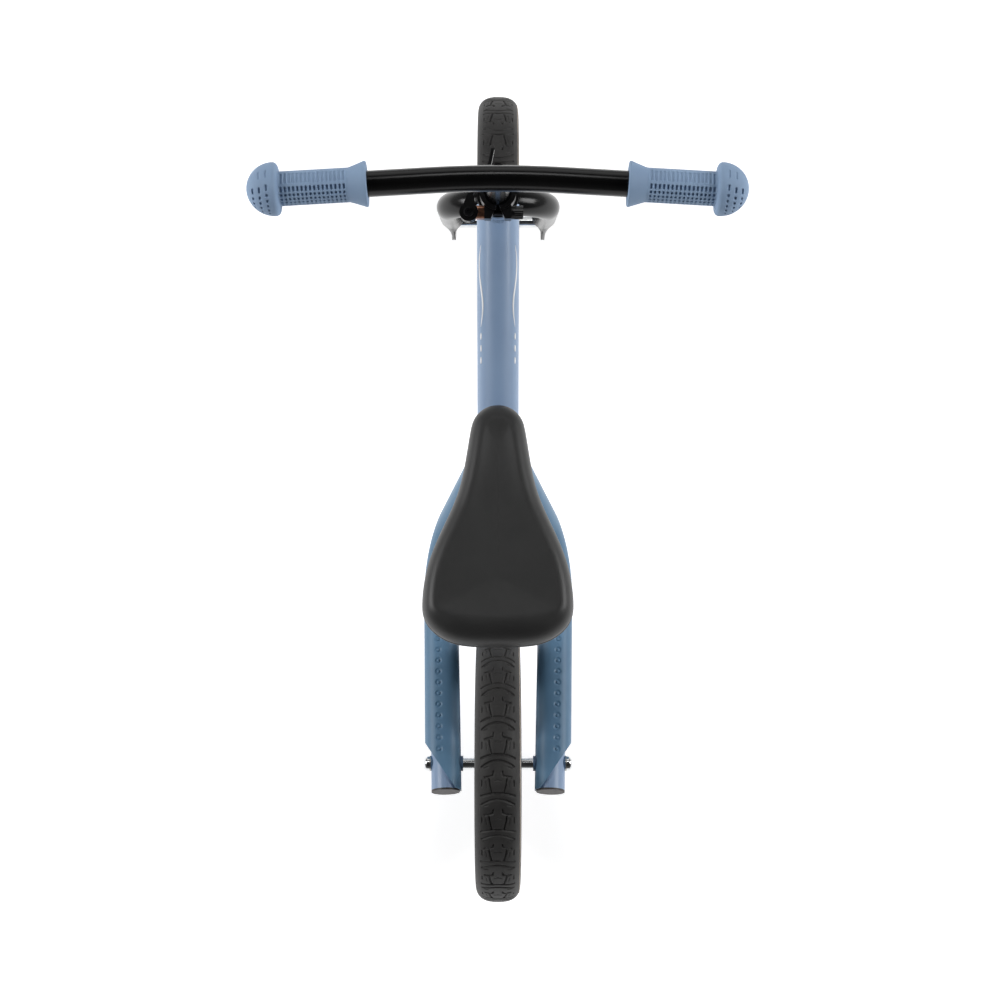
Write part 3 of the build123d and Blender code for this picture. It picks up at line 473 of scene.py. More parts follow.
def stay_stations(step_near, step_far, near_length):
    """Centre points and tangents along the stay, from its rear end to the main tube."""
    run_one = (stay_bend - stay_end).normalized()
    run_two = (stay_root - stay_bend).normalized()
    turn = run_one.angle(run_two)
    setback = bend_radius * math.tan(turn / 2)
    first_length = (stay_bend - stay_end).length - setback
    hinge = run_one.cross(run_two).normalized()
    inward = hinge.cross(run_one)
    arc_length = bend_radius * turn
    last_length = (stay_root - stay_bend).length - setback
    total = first_length + arc_length + last_length
    places = list(np.arange(0, near_length, step_near)) + list(np.arange(near_length, total, step_far))
    stations = []
    for s in places + [total]:
        if s <= first_length:
            stations.append((s, stay_end + run_one * s, 0.0, hinge))
        elif s <= first_length + arc_length:
            angle = (s - first_length) / bend_radius
            centre = stay_end + run_one * first_length + inward * bend_radius
            spot = centre - (inward * math.cos(angle) - run_one * math.sin(angle)) * bend_radius
            stations.append((s, spot, angle, hinge))
        else:
            spot = stay_bend + run_two * (setback + s - first_length - arc_length)
            stations.append((s, spot, turn, hinge))
    return stations


pad_plastic = finish("deep_blue_plastic", tone(92, 130, 160), tone(84, 119, 149), 0.46,
                     50 * mm, 0.6 * mm, 0.02 * mm)
rear_run = (stay_bend - stay_end).normalized()
rear_up = Vector((1, 0, 0)).cross(rear_run).normalized()
section = pad_section()
grid = []
for s, spot, angle, hinge in stay_stations(0.6 * mm, 3 * mm, stud_first + stud_pitch * stud_count):
    turn = Matrix.Rotation(angle, 3, hinge)
    out, up = turn @ Vector((1, 0, 0)), turn @ rear_up
    along = (s - stud_first) / stud_pitch
    nearest = min(max(round(along), 0), stud_count - 1)
    row = []
    for u, v in section:
        if v > 0.8 * pad_flat:
            away = math.hypot(s - stud_first - nearest * stud_pitch, u - stud_shift)
            dish = max(0.0, 1 - (away / dish_radius) ** 4)
            v = v - dish_depth * dish
        row.append(tuple(spot + out * u + up * v))
    grid.append(row)
grid = np.array(grid)


def cap_rows(grid):
    """A grid whose first and last rows are closed by a fan of faces."""
    ends = [np.repeat(row.mean(0)[None], grid.shape[1], 0)[None] for row in (grid[0], grid[-1])]
    return np.concatenate([ends[0], grid, ends[1]])


def cut_plane(thing, point, normal):
    """Cut a closed mesh by a plane, drop what the normal points at, and close the cut."""
    work = bmesh.new()
    work.from_mesh(thing.data)
    cut = bmesh.ops.bisect_plane(work, geom=work.verts[:] + work.edges[:] + work.faces[:],
                                 plane_co=point, plane_no=normal, clear_outer=True)
    rim = [e for e in cut["geom_cut"] if isinstance(e, bmesh.types.BMEdge)]
    bmesh.ops.holes_fill(work, edges=rim)
    work.to_mesh(thing.data)
    work.free()


def stand_copies(tree, start, shape, output):
    """Copies of a shape on the holder's points, each turned to stand along its own up."""
    up = tree.nodes.new("GeometryNodeInputNamedAttribute")
    up.data_type = "FLOAT_VECTOR"
    up.inputs["Name"].default_value = "up"
    turn = tree.nodes.new("FunctionNodeAlignRotationToVector")
    turn.axis = "Z"
    copies = tree.nodes.new("GeometryNodeInstanceOnPoints")
    join_nodes(
        tree,
        (start, "Geometry", copies, "Points"),
        (shape, output, copies, "Instance"),
        (up, "Attribute", turn, "Vector"),
        (turn, "Rotation", copies, "Rotation"),
    )
    return copies


stud_sizes = {"Radius": stud_radius, "Rise": stud_rise}
stud_tree, stud_sockets, stud_in = new_tree("pad_studs", stud_sizes)
add = stud_tree.nodes.new
stud_ball = add("GeometryNodeMeshUVSphere")
stud_ball.inputs["Segments"].default_value = 20
stud_ball.inputs["Rings"].default_value = 10
stud_flat = add("ShaderNodeCombineXYZ")
stud_flat.inputs["X"].default_value = stud_flat.inputs["Y"].default_value = 1
stud_squash = add("ShaderNodeMath")
stud_squash.operation = "DIVIDE"
stud_copies = stand_copies(stud_tree, stud_in, stud_ball, "Mesh")
join_nodes(
    stud_tree,
    (stud_in, "Radius", stud_ball, "Radius"),
    (stud_in, "Rise", stud_squash, 0),
    (stud_in, "Radius", stud_squash, 1),
    (stud_squash, 0, stud_flat, "Z"),
    (stud_flat, "Vector", stud_copies, "Scale"),
)
end_tree(stud_tree, stud_copies, pad_plastic)


def point_holder(name, points, ups):
    """Loose points, each with the direction that its copy stands along."""
    mesh = bpy.data.meshes.new(name)
    mesh.from_pydata([tuple(p) for p in points], [], [])
    direction = mesh.attributes.new("up", "FLOAT_VECTOR", "POINT")
    direction.data.foreach_set("vector", np.array([tuple(u) for u in ups], float).ravel())
    return new_object(name, mesh)


def cut_rod(piece, start, end, radius):
    """Take a round rod's space out of a piece."""
    side_way, ahead_way = across_frame((end - start).normalized())
    rings = [[tuple(spot + (side_way * math.cos(t) + ahead_way * math.sin(t)) * radius)
              for t in np.linspace(0, 2 * math.pi, 48, endpoint=False)] for spot in (start, end)]
    cutter = grid_object("cutter", cap_rows(np.array(rings)), wrap_rows=False, weld=True)
    cut = piece.modifiers.new("cut", "BOOLEAN")
    cut.operation = "DIFFERENCE"
    cut.solver = "EXACT"
    cut.object = cutter
    return cutter


# Inside the seat tube the pads are cut away, so the post slides clear of them.
post_low, post_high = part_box("seat_post")
post_middle = (post_low + post_high) / 2
seat_ends = [post_middle + seat_up * ((corner.z - post_middle.z) / seat_up.z)
             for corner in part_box("seat_tube")]
post_space = 13.6 * mm
notch_near, notch_far = 20 * mm, 120 * mm
middle_gap = 0.01 * mm
for side, label in ((1, "right"), (-1, "left")):
    pad = grid_object(f"{label}_pad", cap_rows(grid) * (side, 1, 1), wrap_rows=False, weld=True)
    cut_plane(pad, (middle_gap * side, 0, 0), (-side, 0, 0))
    cut_point = Vector((stay_end.x * side, stay_end.y + cut_setback, 0))
    cut_plane(pad, cut_point, (side * math.sin(cut_angle), -math.cos(cut_angle), 0))
    cut_point = Vector(((stay_end.x + pad_shift + pad_radius) * side, stay_end.y + soft_cut_setback, 0))
    cut_plane(pad, cut_point, (side * math.sin(soft_cut_angle), -math.cos(soft_cut_angle), 0))
    cutters = [cut_rod(pad, Vector((notch_near * side, rear_hub.y, rear_hub.z)),
                       Vector((notch_far * side, rear_hub.y, rear_hub.z)), notch_radius),
               cut_rod(pad, *seat_ends, post_space)]
    soften = pad.modifiers.new("soften", "BEVEL")
    soften.width = 0.9 * mm
    soften.segments = 3
    soften.limit_method = "ANGLE"
    soften.angle_limit = math.radians(38)
    mesh = plain_mesh(pad)
    pad.modifiers.clear()
    pad.data = mesh
    for cutter in cutters:
        bpy.data.objects.remove(cutter)
    mesh.shade_smooth()
    mesh.set_sharp_from_angle(angle=math.radians(40))
    mesh.materials.clear()
    mesh.materials.append(pad_plastic)
    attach(pad, "frame")
    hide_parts(f"{label}_footrest_pad")
    spots = [stay_end + rear_run * (stud_first + n * stud_pitch) + Vector((stud_shift, 0, 0))
             + rear_up * (pad_flat - dish_depth) for n in range(stud_count)]
    spots = [Vector((p.x * side, p.y, p.z)) for p in spots]
    studs = grow(f"{label}_pad_studs", point_holder("studs", spots, [rear_up] * stud_count),
                 stud_tree, stud_sockets, stud_sizes)
    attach(studs, "frame")

# ---- stay ends and axle bosses -----------------------------------------------------
# Push-in plastic plugs close the stays, and painted bosses carry the rear axle bolts.
# The plugs are black plastic with a black lip; their tone drifts in patches up to a brown-grey that is
# painted light, the face as lit from behind.
plug_plastic_painted_light = finish("black_plug_plastic_painted_light", tone(70, 62, 58), tone(36, 34, 34), 0.5,
                      9 * mm, 0.5 * mm, 0.03 * mm)
# The bosses get the frame's blue darkened: painted shade, for the shade they sit in on the stays' inner
# side.
boss_paint_painted_shade = finish("frame_blue_painted_shade", tone(86, 112, 140), tone(76, 100, 128), 0.4,
                    30 * mm, 0.9 * mm, 0.012 * mm)
dress(plug_plastic_painted_light, "stay_end_plugs")
dress(boss_paint_painted_shade, "rear_axle_bosses")

# ---- fork, stem and handlebar ------------------------------------------------------
# Black gloss powder coat over bent steel tube: the fork blades are one bent tube with
# flattened tips, the stem slides in the steerer, and the bar sweeps back at both ends.
gloss_black = finish("gloss_black_powder_coat", tone(9, 9, 9), tone(5, 5, 6), 0.2,
                     45 * mm, 1.1 * mm, 0.012 * mm, specular=0.32, rough_drift=0.04)
dress(gloss_black, "fork_steerer", "fork_legs", "stem", "handlebar", "seat_clamp", "saddle_rails",
      "saddle_clamp")

# ---- headset and quick-release collar ----------------------------------------------
# Pressed cups, a cast collar with two ears and a cast lever on a steel barrel, all black;
# the pinch bolt, its nut and the races are zinc-plated steel.
cast_black = finish("satin_black_casting", tone(15, 15, 16), tone(8, 8, 9), 0.3,
                    14 * mm, 0.7 * mm, 0.03 * mm, coat=0.2)
zinc = finish("zinc_plate", tone(206, 206, 200), tone(178, 178, 172), 0.28,
              6 * mm, 0.5 * mm, 0.01 * mm, metallic=1.0)
dress(cast_black, "lower_headset_cup", "upper_headset_cup", "upper_race", "headset_lock_nut",
      "qr_collar", "qr_lever", "qr_nut")
bronze = finish("bronze_cam_seat", tone(176, 128, 104), tone(140, 98, 80), 0.32,
                4 * mm, 0.5 * mm, 0.01 * mm, metallic=1.0)
dress(bronze, "qr_cam_seat")
dress(zinc, "crown_race", "headset_bearings", "seat_clamp_bolt", "seat_clamp_nut",
      "saddle_clamp_bolt", "saddle_clamp_nut", "seat_post", "front_bearings", "rear_bearings",
      "front_axle", "rear_axle", "front_axle_washers", "rear_axle_washers")

# The lever's barrel is blackened steel, and a cap screw with a hex socket holds it.
black_steel = finish("blackened_steel", tone(40, 40, 42), tone(26, 26, 28), 0.35,
                     5 * mm, 0.4 * mm, 0.01 * mm, metallic=0.8)
dress(black_steel, "qr_bolt")
cap_radius, cap_height, cap_chamfer, socket_radius = 4.3 * mm, 1.1 * mm, 0.4 * mm, 2.2 * mm
barrel_top = 9 * mm
lever_pivot = Vector(JOINTS["qr_lever_turn"]["pos_m"])


def hex_reach(turn, reach):
    """Distance from the middle of a hexagon to its side."""
    return reach * math.cos(math.pi / 6) / math.cos((turn % (math.pi / 3)) - math.pi / 6)


cap_side, cap_ahead = across_frame(steer_up)
cap_turns = np.linspace(0, 2 * math.pi, 48, endpoint=False)
cap_rings = []
for reach, height, is_hex in (
    (cap_radius, 0, False), (cap_radius, cap_height - cap_chamfer, False),
    (cap_radius - cap_chamfer, cap_height, False), (socket_radius, cap_height, True),
    (socket_radius, 0.2 * mm, True), (0.1 * mm, 0.2 * mm, False),
):
    ring = []
    for turn in cap_turns:
        out = hex_reach(turn, reach) if is_hex else reach
        spot = lever_pivot + steer_up * (barrel_top + height)
        spot = spot + (cap_side * math.cos(turn) + cap_ahead * math.sin(turn)) * out
        ring.append(tuple(spot))
    cap_rings.append(ring)
cap = grid_object("lever_cap_screw", cap_rows(np.array(cap_rings)),
                  wrap_rows=False, weld=True, smooth_angle=30)
cap.data.materials.append(black_steel)
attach(cap, "fork")

# ---- axle sleeves and bolts --------------------------------------------------------
# Turned, chromed spacer tubes between hub and fork or stay, and domed bolts with a hex
# socket at both ends of each axle.
chrome = finish("chrome_plate", tone(226, 228, 228), tone(206, 208, 210), 0.12,
                10 * mm, 0.4 * mm, 0.004 * mm, metallic=1.0)
dress(chrome, "front_axle_sleeves", "rear_axle_sleeves", "front_axle_bolts", "rear_axle_bolts")

# ---- grips -------------------------------------------------------------------------
# Soft rubber grips: a mushroom end that keeps a hand on the bar, a body with columns of
# slots and holes, and a cone at the inner end. The pattern is moulded in, 1 to 2 mm deep.
bar_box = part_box("handlebar")
grip_length, grip_wall, grip_bore = 102.5 * mm, 4 * mm, 11.15 * mm
dome_length, dome_radius, dome_edge = 23.5 * mm, 22.5 * mm, 4 * mm
body_start, body_end, body_radius = 27.5 * mm, 87 * mm, 14.5 * mm
cone_radius, cone_lip = 19.4 * mm, 1.4 * mm
column_first, column_pitch, column_count = 30.3 * mm, 3.55 * mm, 16
face_turn = math.radians(-27)
grip_rubber = finish("blue_grip_rubber", tone(136, 160, 188), tone(128, 151, 180), 0.68,
                     30 * mm, 0.35 * mm, 0.03 * mm, specular=0.35)
bar_height = (bar_box[0].z + bar_box[1].z) / 2
bar_tip = Vector((213, 136.5, 0)) * mm
bar_tip.z = bar_height
bar_inward = (Vector((0, 149.9 * mm, bar_height)) - bar_tip).normalized()


def grip_outline():
    """Half outline of the grip: distance from the outer end, radius."""
    dome = [(dome_length * (1 - math.cos(t)), dome_radius * math.sin(t))
            for t in np.linspace(0, math.pi / 2, 60)]
    edge = [(dome_length + dome_edge * math.sin(t), dome_radius - dome_edge * (1 - math.cos(t)))
            for t in np.linspace(0, math.pi / 2, 12)[1:]]
    neck_fillet = 1.2 * mm
    neck = [(body_start + neck_fillet * (1 - math.cos(t)),
             body_radius + neck_fillet * (1 - math.sin(t))) for t in np.linspace(0, math.pi / 2, 6)]
    body = [(s, body_radius) for s in np.linspace(body_start + 2 * neck_fillet, body_end, 165)]
    cone = [(s, body_radius + (cone_radius - body_radius)
             * ((s - body_end) / (grip_length - cone_lip - body_end)) ** 1.05)
            for s in np.linspace(body_end, grip_length - cone_lip, 26)[1:]]
    lip = [(grip_length - cone_lip * (1 - math.sin(t)), cone_radius - cone_lip * (1 - math.cos(t)))
           for t in np.linspace(0, math.pi / 2, 6)[1:]]
    inner = [(grip_length, grip_bore), (grip_wall, grip_bore), (grip_wall, 0)]
    return np.array(dome + edge + neck + body + cone + lip + inner)


# Holes as (along, turn from the facing side, half length along, half length round, depth).
grip_holes = []
for number in range(column_count):
    s = column_first + column_pitch * number
    for half in (0, math.pi):
        grip_holes.append((s, half + math.radians(36), 1.15 * mm, 5.4 * mm, 0.8 * mm))
        for turn, size in ((-4, 2.2), (-24, 1.25), (-40, 1.05), (-55, 0.95), (-70, 0.8)):
            grip_holes.append((s, half + math.radians(turn), min(size, 1.0) * mm, size * mm, 1.9 * mm))
for s, shift in ((7.5 * mm, 4), (13.5 * mm, 2), (19.5 * mm, -3)):
    radius = dome_radius * math.sqrt(max(0.0, 1 - (1 - s / dome_length) ** 2))
    for half in (0, math.pi):
        grip_holes.append((s, half - math.radians(shift), 0.9 * mm, 2.5 * mm, 1.8 * mm))
        for n in range(5):
            turn = math.radians(shift) + (6.6 + 4.9 * n) * mm / radius
            grip_holes.append((s, half - turn, (1.05 - 0.1 * n) * mm, (1.4 - 0.12 * n) * mm, 1.6 * mm))
        if s > 10 * mm:
            grip_holes.append((s, half + 0.62, 0.8 * mm, 3.8 * mm, 0.8 * mm))


def grip_object(name, side):
    """One grip, dimpled by its holes, along one end of the bar."""
    outline = grip_outline()
    turns = np.linspace(0, 2 * math.pi, 280, endpoint=False)
    along, radius = outline[:, :1], outline[:, 1:]
    depth = np.zeros((len(outline), len(turns)))
    for s, turn, half_along, half_round, deep in grip_holes:
        off = (turns - face_turn - turn + math.pi) % (2 * math.pi) - math.pi
        round_gap = np.abs(off)[None] * np.maximum(radius, 1 * mm)
        straight = max(half_round - half_along, 0)
        away = np.hypot(along - s, np.maximum(round_gap - straight, 0)) / half_along
        well = np.clip(1.25 - away, 0, 0.5) / 0.5
        depth = np.maximum(depth, deep * well * well * (3 - 2 * well))
    depth[along[:, 0] > body_end + 1 * mm] = 0
    depth[-3:] = 0
    reach = radius - depth
    spot = np.array(bar_tip)[None, None] + np.array(bar_inward)[None, None] * along[..., None]
    up = np.array((0, 0, 1.0))
    ahead = np.cross(np.array(bar_inward), up)
    if ahead[1] < 0:
        ahead = -ahead
    around = np.cos(turns)[None, :, None] * up + np.sin(turns)[None, :, None] * ahead
    points = spot + reach[..., None] * around
    return grid_object(name, points * (side, 1, 1), wrap_rows=False, weld=True, smooth_angle=50)


for side, label in ((1, "right"), (-1, "left")):
    grip = grip_object(f"{label}_rubber_grip", side)
    grip.data.materials.append(grip_rubber)
    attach(grip, "handlebar")
    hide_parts(f"{label}_grip")

# ---- saddle ------------------------------------------------------------------------
# A moulded foam cushion in matt black vinyl, pulled tight over a plastic base: broad at
# the back, with a rounded nose and a ridge round a light dish. A rolled band ends the cover.
cushion_low, cushion_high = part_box("saddle_cushion")
outline_count = 260


def plan_outline(node, count):
    """Even points round a CAD solid's lower face, read from its own mesh."""
    mesh = NODES[node].data
    low = min(v.co.z for v in mesh.vertices) + 0.01 * mm
    seen, spots = {}, {}
    for face in mesh.polygons:
        corners = [mesh.vertices[i].co for i in face.vertices]
        if max(c.z for c in corners) > low:
            continue
        keys = [(round(c.x * 1e6), round(c.y * 1e6)) for c in corners]
        for i, key in enumerate(keys):
            spots[key] = (corners[i].x, corners[i].y)
            edge = frozenset((key, keys[(i + 1) % len(keys)]))
            seen[edge] = seen.get(edge, 0) + 1
    beside = {}
    for edge in (e for e, times in seen.items() if times == 1 and len(e) == 2):
        one, two = edge
        beside.setdefault(one, []).append(two)
        beside.setdefault(two, []).append(one)
    chain = [min(beside)]
    while True:
        ahead = [k for k in beside[chain[-1]] if len(chain) < 2 or k != chain[-2]]
        if ahead[0] == chain[0]:
            break
        chain.append(ahead[0])
    closed = np.array([spots[key] for key in chain + chain[:1]])
    length = np.concatenate([[0], np.cumsum(np.hypot(*np.diff(closed, axis=0).T))])
    places = np.linspace(0, length[-1], count, endpoint=False)
    even = np.stack([np.interp(places, length, closed[:, k]) for k in (0, 1)], 1)
    for _ in range(3):
        even = (np.roll(even, 1, 0) + 2 * even + np.roll(even, -1, 0)) / 4
    return even


saddle_line = plan_outline("saddle_cushion", outline_count)


def inset_line(line, inset):
    """Outline drawn in by a distance, square to itself."""
    run = np.roll(line, -1, 0) - np.roll(line, 1, 0)
    run /= np.linalg.norm(run, axis=1)[:, None]
    inward = np.stack([-run[:, 1], run[:, 0]], 1)
    area = (line[:, 0] * np.roll(line[:, 1], -1) - line[:, 1] * np.roll(line[:, 0], -1)).sum()
    return line + inward * inset * (1 if area > 0 else -1)


def spine_of(line, inset_nose, inset_tail):
    """The centre line point that each outline point draws in towards."""
    high, low = line[:, 1].max() - inset_nose, line[:, 1].min() + inset_tail
    return np.stack([np.zeros(len(line)), np.clip(line[:, 1], low, high)], 1)


def outward(line):
    """Unit vectors that point out of an outline."""
    way = line - inset_line(line, 1 * mm)
    return way / np.linalg.norm(way, axis=1)[:, None]


def ridge_height(spots):
    """Height of the saddle's ridge: high at the tail, and falling at the nose."""
    along = (spots[:, 1] - cushion_low.y) / (cushion_high.y - cushion_low.y)
    nose_fall = np.clip((along - 0.6) / 0.4, 0, 1) ** 2
    middle_fall = np.clip(1 - np.abs(along - 0.55) / 0.45, 0, 1)
    return cushion_high.z - 5.5 * mm * nose_fall - 1.2 * mm * middle_fall


# The cover rises from the rolled edge as a rounded shoulder, broadest at the tail, to a
# ridge, and dips again inside it.
shoulder_side, shoulder_tail, shoulder_nose = 13 * mm, 24 * mm, 17 * mm
wall_height, tuck, dish = 5 * mm, 1.4 * mm, 3.2 * mm
out_way = outward(saddle_line)
shoulder = (shoulder_side + (shoulder_tail - shoulder_side) * np.clip(-out_way[:, 1], 0, 1) ** 1.6
            + (shoulder_nose - shoulder_side) * np.clip(out_way[:, 1], 0, 1) ** 1.6)
spine_nose, spine_tail = 45 * mm, 62 * mm
spine = spine_of(saddle_line, spine_nose, spine_tail)
rings = []
for share in (0, 0.35, 0.7, 0.9, 1):
    flat = spine * (1 - share) + inset_line(saddle_line, tuck) * share
    rings.append(np.column_stack([flat, np.full(len(flat), cushion_low.z)]))
for inset, height in ((0.4, 1.2), (0.0, 3.0)):
    flat = inset_line(saddle_line, inset * mm)
    rings.append(np.column_stack([flat, np.full(len(flat), cushion_low.z + height * mm)]))
ridge_line = saddle_line - out_way * shoulder[:, None]
ridge = ridge_height(ridge_line)
for turn in np.radians(np.arange(0, 91, 9)):
    flat = saddle_line - out_way * (shoulder * (1 - math.cos(turn)))[:, None]
    wall = cushion_low.z + wall_height
    rings.append(np.column_stack([flat, wall + (ridge - wall) * math.sin(turn) ** 0.9]))
for share in (0.94, 0.86, 0.76, 0.64, 0.5, 0.36, 0.22, 0.1, 0):
    flat = spine * (1 - share) + ridge_line * share
    dip = dish * (1 - share ** 2) * (1 - share) ** 0.2
    rings.append(np.column_stack([flat, ridge_height(flat) - dip]))
vinyl = finish("matt_black_vinyl", tone(38, 38, 38), tone(31, 31, 31), 0.46,
               70 * mm, 0.55 * mm, 0.05 * mm, specular=0.5, rough_drift=0.05)
cushion = grid_object("saddle_cover", np.array(rings), wrap_rows=False, weld=True)
cushion.data.materials.append(vinyl)
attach(cushion, "seat")
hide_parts("saddle_cushion")

# The rolled band where the cover is turned under the base.
band_radius, band_inset = 2.1 * mm, 1.6 * mm
band_line = inset_line(saddle_line, band_inset)
band_out = inset_line(saddle_line, band_inset - 1) - band_line
band_turns = np.linspace(0, 2 * math.pi, 12, endpoint=False)
band = np.array([[np.append(spot + out * math.cos(t) * band_radius,
                            cushion_low.z + 0.4 * mm + math.sin(t) * band_radius)
                  for t in band_turns] for spot, out in zip(band_line, band_out)])
roll = grid_object("saddle_rolled_edge", band)
roll.data.materials.append(vinyl)
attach(roll, "seat")

base_plastic = finish("black_base_plastic", tone(34, 34, 35), tone(26, 26, 27), 0.5,
                      40 * mm, 0.7 * mm, 0.04 * mm)
dress(base_plastic, "saddle_base")

# ---- tyres -------------------------------------------------------------------------
# Foam rubber tyres with a road tread: two swept arcs, a pair of hooked notches and two
# long slots to each of 24 repeats, on a smooth casing with a light sidewall line. The rear
# tyre is mounted with its arcs the other way round.
tyre_radius, tyre_centre, tyre_half, tyre_power = 141 * mm, 122 * mm, 23 * mm, 2.6
seat_ring, flange_ring, foot_half = 103 * mm, 108.5 * mm, 15 * mm
tread_half, tread_repeats, tread_columns = 17.8 * mm, 24, 64
tread_steps = 62
groove_depth, band_depth = 1.5 * mm, 1.9 * mm
line_r, line_half = 131.3 * mm, 0.8 * mm
tread_pitch = 2 * math.pi * tyre_radius / tread_repeats


def tyre_height(x):
    """Radius of the tyre's round outside at a distance from its middle."""
    share = np.clip(np.abs(x) / tyre_half, 0, 1)
    return tyre_centre + (tyre_radius - tyre_centre) * (1 - share ** tyre_power) ** (1 / tyre_power)


def swept_arc(start, sweep, reach):
    """Half of an arc across the tread, swept back towards the shoulder."""
    return [(start + sweep * (x / reach) ** 2, x) for x in np.linspace(0, reach, 7)]


# Grooves of half a repeat in millimetres, as (points along and across, half width, depth).
tread_grooves = [
    (swept_arc(0.6, 3.8, 16.2), 0.75, 1.0),
    (swept_arc(6.4, 6.2, 15.4), 0.70, 1.0),
    ([(17.0, 4.4), (20.6, 4.9), (22.0, 8.6), (22.6, 12.6)], 0.75, 0.95),
    ([(24.0, 8.4), (30.0, 7.6), (37.2, 5.9)], 0.75, 1.0),
    ([(26.0, 15.3), (31.5, 15.3)], 0.5, 0.6),
    ([(24.8, 0.0), (26.0, 3.6)], 0.35, 0.35),
    ([(12.6, 9.6), (13.8, 13.4)], 0.4, 0.45),
    ([(32.4, 10.4), (26.6, 11.4)], 0.35, 0.4),
]


def groove_map(along, across):
    """Depth of the tread pattern, from 0 to 1, at points of one repeat in millimetres."""
    pitch = tread_pitch / mm
    cut = np.zeros(np.broadcast(along, across).shape)
    for points, half_width, depth in tread_grooves:
        for shift in (-pitch, 0, pitch):
            for (a0, x0), (a1, x1) in zip(points[:-1], points[1:]):
                da, dx = a1 - a0, x1 - x0
                t = ((along - a0 - shift) * da + (across - x0) * dx) / (da * da + dx * dx)
                t = np.clip(t, 0, 1)
                away = np.hypot(along - a0 - shift - t * da, across - x0 - t * dx)
                wall = np.clip((half_width + 0.3 - away) / 0.5, 0, 1)
                cut = np.maximum(cut, depth * wall)
    return cut


def wheel_spots(hub, x, radius, turn):
    """Points round a wheel, from distance along the axle, radius and turn from the top."""
    return np.stack([x + 0 * turn, hub.y + radius * np.sin(turn), hub.z + radius * np.cos(turn)], -1)


tyre_rubber = finish("black_tyre_rubber", tone(46, 45, 44), tone(32, 31, 31), 0.6,
                     25 * mm, 0.5 * mm, 0.06 * mm, specular=0.4)
line_rubber = finish("cream_sidewall_line", tone(190, 178, 164), tone(168, 156, 144), 0.6,
                     20 * mm, 0.6 * mm, 0.03 * mm)
across_tread = np.linspace(-tread_half, tread_half, tread_columns)
one_repeat = np.arange(tread_steps) / tread_steps * tread_pitch / mm
pattern = groove_map(one_repeat[:, None], np.abs(across_tread)[None] / mm)
tread_turns = np.arange(tread_repeats * tread_steps) / (tread_repeats * tread_steps) * 2 * math.pi
casing_turns = np.linspace(0, 2 * math.pi, 240, endpoint=False)

crown_x = tyre_half * np.sin(np.linspace(-math.pi / 2, math.pi / 2, 61))
crown_drop = 1.7 * mm * np.clip((tread_half - 0.2 * mm - np.abs(crown_x)) / (0.6 * mm), 0, 1)
crown_r = tyre_height(crown_x) - crown_drop
fall = np.linspace(0, 1, 10)[1:]
side_r = tyre_centre - (tyre_centre - flange_ring) * fall
side_x = foot_half + (tyre_half - foot_half) * np.sqrt(1 - fall ** 2)
casing_x = np.concatenate([crown_x, side_x, [foot_half, -foot_half], -side_x[::-1]])
casing_r = np.concatenate([crown_r, side_r, [seat_ring, seat_ring], side_r[::-1]])
rib_lift = 0.35 * mm

for end, hub in (("front", front_hub), ("rear", rear_hub)):
    grooves = np.tile(pattern if end == "front" else pattern[::-1], (tread_repeats, 1))
    x = across_tread[None] + 0 * tread_turns[:, None]
    turn = tread_turns[:, None] + 0 * x
    top = tyre_height(x) - groove_depth * grooves
    under_x = np.linspace(tread_half, -tread_half, 6)[None] + 0 * tread_turns[:, None]
    under = tyre_height(under_x) - band_depth
    tread = wheel_spots(hub, np.hstack([x, under_x]), np.hstack([top, under]),
                        np.hstack([turn, tread_turns[:, None] + 0 * under_x]))
    band = grid_object(f"{end}_tread", tread, smooth_angle=60)
    band.data.materials.append(tyre_rubber)
    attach(band, f"{end}_wheel")
    shape = wheel_spots(hub, casing_x[None] + 0 * casing_turns[:, None],
                        casing_r[None] + 0 * casing_turns[:, None],
                        casing_turns[:, None] + 0 * casing_x[None])
    casing = grid_object(f"{end}_casing", shape, smooth_angle=50)
    casing.data.materials.append(tyre_rubber)
    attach(casing, f"{end}_wheel")
    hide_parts(f"{end}_tyre")
    line_share = (line_r - tyre_centre) / (tyre_radius - tyre_centre)
    line_x = tyre_half * (1 - line_share ** tyre_power) ** (1 / tyre_power)
    loop = np.linspace(0, 2 * math.pi, 10, endpoint=False)
    loop_x = line_x + rib_lift * np.cos(loop) - 0.32 * mm * np.sin(loop)
    loop_r = line_r + 0.3 * mm * np.cos(loop) + line_half * np.sin(loop)
    ring = grid_object(f"{end}_sidewall_line", wheel_spots(
        hub, loop_x[None] + 0 * casing_turns[:, None], loop_r[None] + 0 * casing_turns[:, None],
        casing_turns[:, None] + 0 * loop_x[None]))
    ring.data.materials.append(line_rubber)
    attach(ring, f"{end}_wheel")

# ---- wheels ------------------------------------------------------------------------
# Black nylon wheels moulded in one: a flanged rim, ten fluted spokes and a hub with a
# bearing pressed into each end.
rim_half, flange_thick, rim_depth = 18 * mm, 3 * mm, 10 * mm
hub_half, hub_radius, bearing_seat, hub_bore = 20 * mm, 17 * mm, 11.02 * mm, 9 * mm
bearing_depth = 7 * mm
spoke_count, spoke_half_depth = 10, 7 * mm
wheel_nylon = finish("black_wheel_nylon", tone(30, 30, 31), tone(22, 22, 23), 0.42,
                     35 * mm, 0.7 * mm, 0.03 * mm)
rim_loop = rounded([
    (-rim_half, seat_ring - rim_depth), (rim_half, seat_ring - rim_depth), (rim_half, flange_ring),
    (rim_half - flange_thick, flange_ring), (rim_half - flange_thick, seat_ring),
    (flange_thick - rim_half, seat_ring), (flange_thick - rim_half, flange_ring), (-rim_half, flange_ring),
], 1.3 * mm)
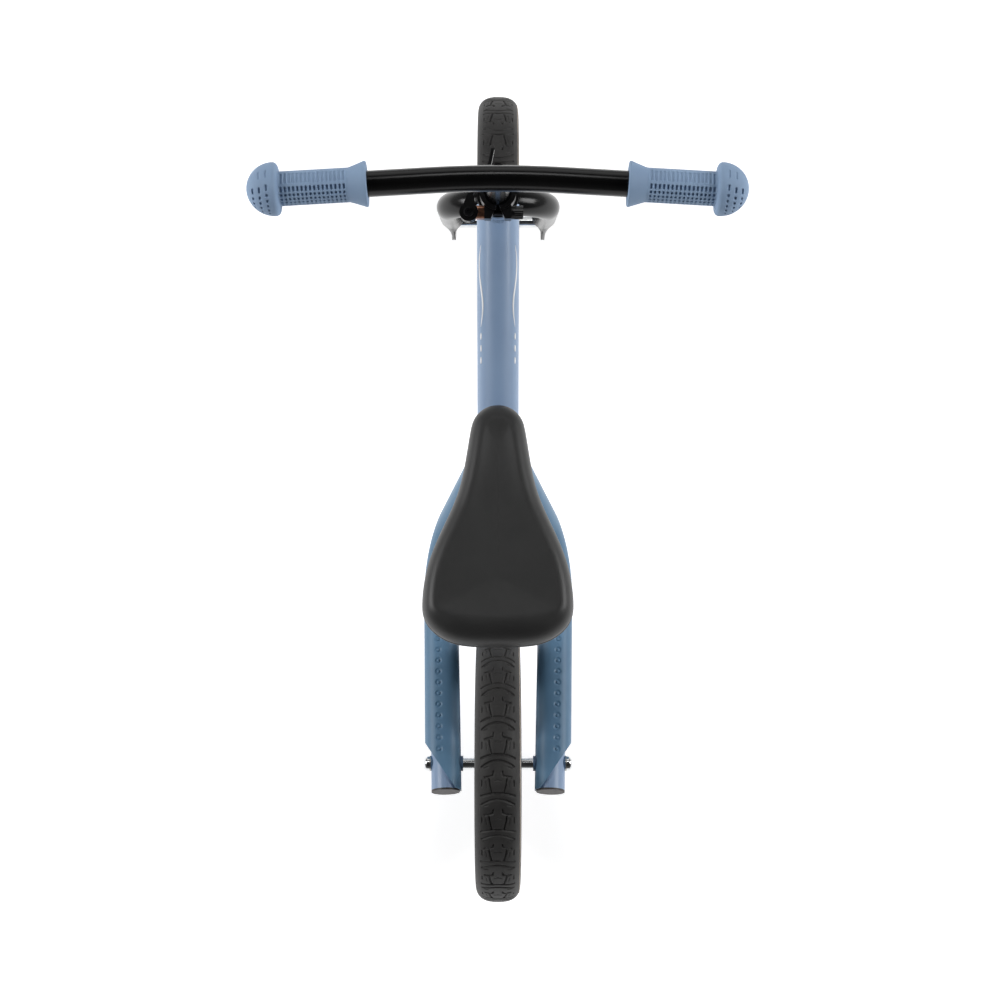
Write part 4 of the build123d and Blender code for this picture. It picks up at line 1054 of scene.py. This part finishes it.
hub_loop = rounded([
    (-hub_half, bearing_seat), (-hub_half, hub_radius - 2 * mm), (-hub_half + 3 * mm, hub_radius),
    (hub_half - 3 * mm, hub_radius), (hub_half, hub_radius - 2 * mm), (hub_half, bearing_seat),
    (hub_half - bearing_depth, bearing_seat), (hub_half - bearing_depth, hub_bore),
    (bearing_depth - hub_half, hub_bore), (bearing_depth - hub_half, bearing_seat),
], 0.6 * mm)

spoke_rows = []
for reach, half_width in ((15, 8.5), (20, 6.6), (28, 5.2), (40, 4.6), (60, 4.5), (76, 5.0), (86, 6.4),
                          (92, 8.6), (96, 10.5)):
    half_width, flute, lip = half_width * mm, 3.2 * mm, 1.7 * mm
    quarter = [(spoke_half_depth - 0.5 * mm, -half_width), (spoke_half_depth, 0.5 * mm - half_width),
               (spoke_half_depth, lip - half_width), (spoke_half_depth - flute, lip + 0.7 * mm - half_width)]
    half = quarter + [(x, -y) for x, y in quarter[::-1]]
    loop = half + [(-x, -y) for x, y in half]
    spoke_rows.append([(x, y, reach * mm) for x, y in loop])
spoke_shape = grid_object("spoke_shape", cap_rows(np.array(spoke_rows)), wrap_rows=False, weld=True,
                          smooth_angle=35)

spoke_sizes = {"Size": 1.0}
spoke_tree, spoke_sockets, spoke_in = new_tree("spoke_ring", spoke_sizes)
spoke_info = spoke_tree.nodes.new("GeometryNodeObjectInfo")
spoke_info.inputs["Object"].default_value = spoke_shape
spoke_copies = stand_copies(spoke_tree, spoke_in, spoke_info, "Geometry")
join_nodes(spoke_tree, (spoke_in, "Size", spoke_copies, "Scale"))
end_tree(spoke_tree, spoke_copies, wheel_nylon, smooth=False)

for end, hub in (("front", front_hub), ("rear", rear_hub)):
    body = f"{end}_wheel"
    for part, loop in (("rim", rim_loop), ("hub", hub_loop)):
        shape = wheel_spots(hub, loop[None, :, 0] + 0 * casing_turns[:, None],
                            loop[None, :, 1] + 0 * casing_turns[:, None],
                            casing_turns[:, None] + 0 * loop[None, :, 0])
        piece = grid_object(f"{end}_{part}", shape, smooth_angle=50)
        piece.data.materials.append(wheel_nylon)
        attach(piece, body)
        if part == "rim":
            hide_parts(f"{end}_wheel_core")
    ups = [Vector((0, math.cos(2 * math.pi * n / spoke_count), math.sin(2 * math.pi * n / spoke_count)))
           for n in range(spoke_count)]
    spokes = grow(f"{end}_spokes", point_holder("spoke_spots", [hub] * spoke_count, ups),
                  spoke_tree, spoke_sockets, spoke_sizes)
    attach(spokes, body)
bpy.data.objects.remove(spoke_shape)
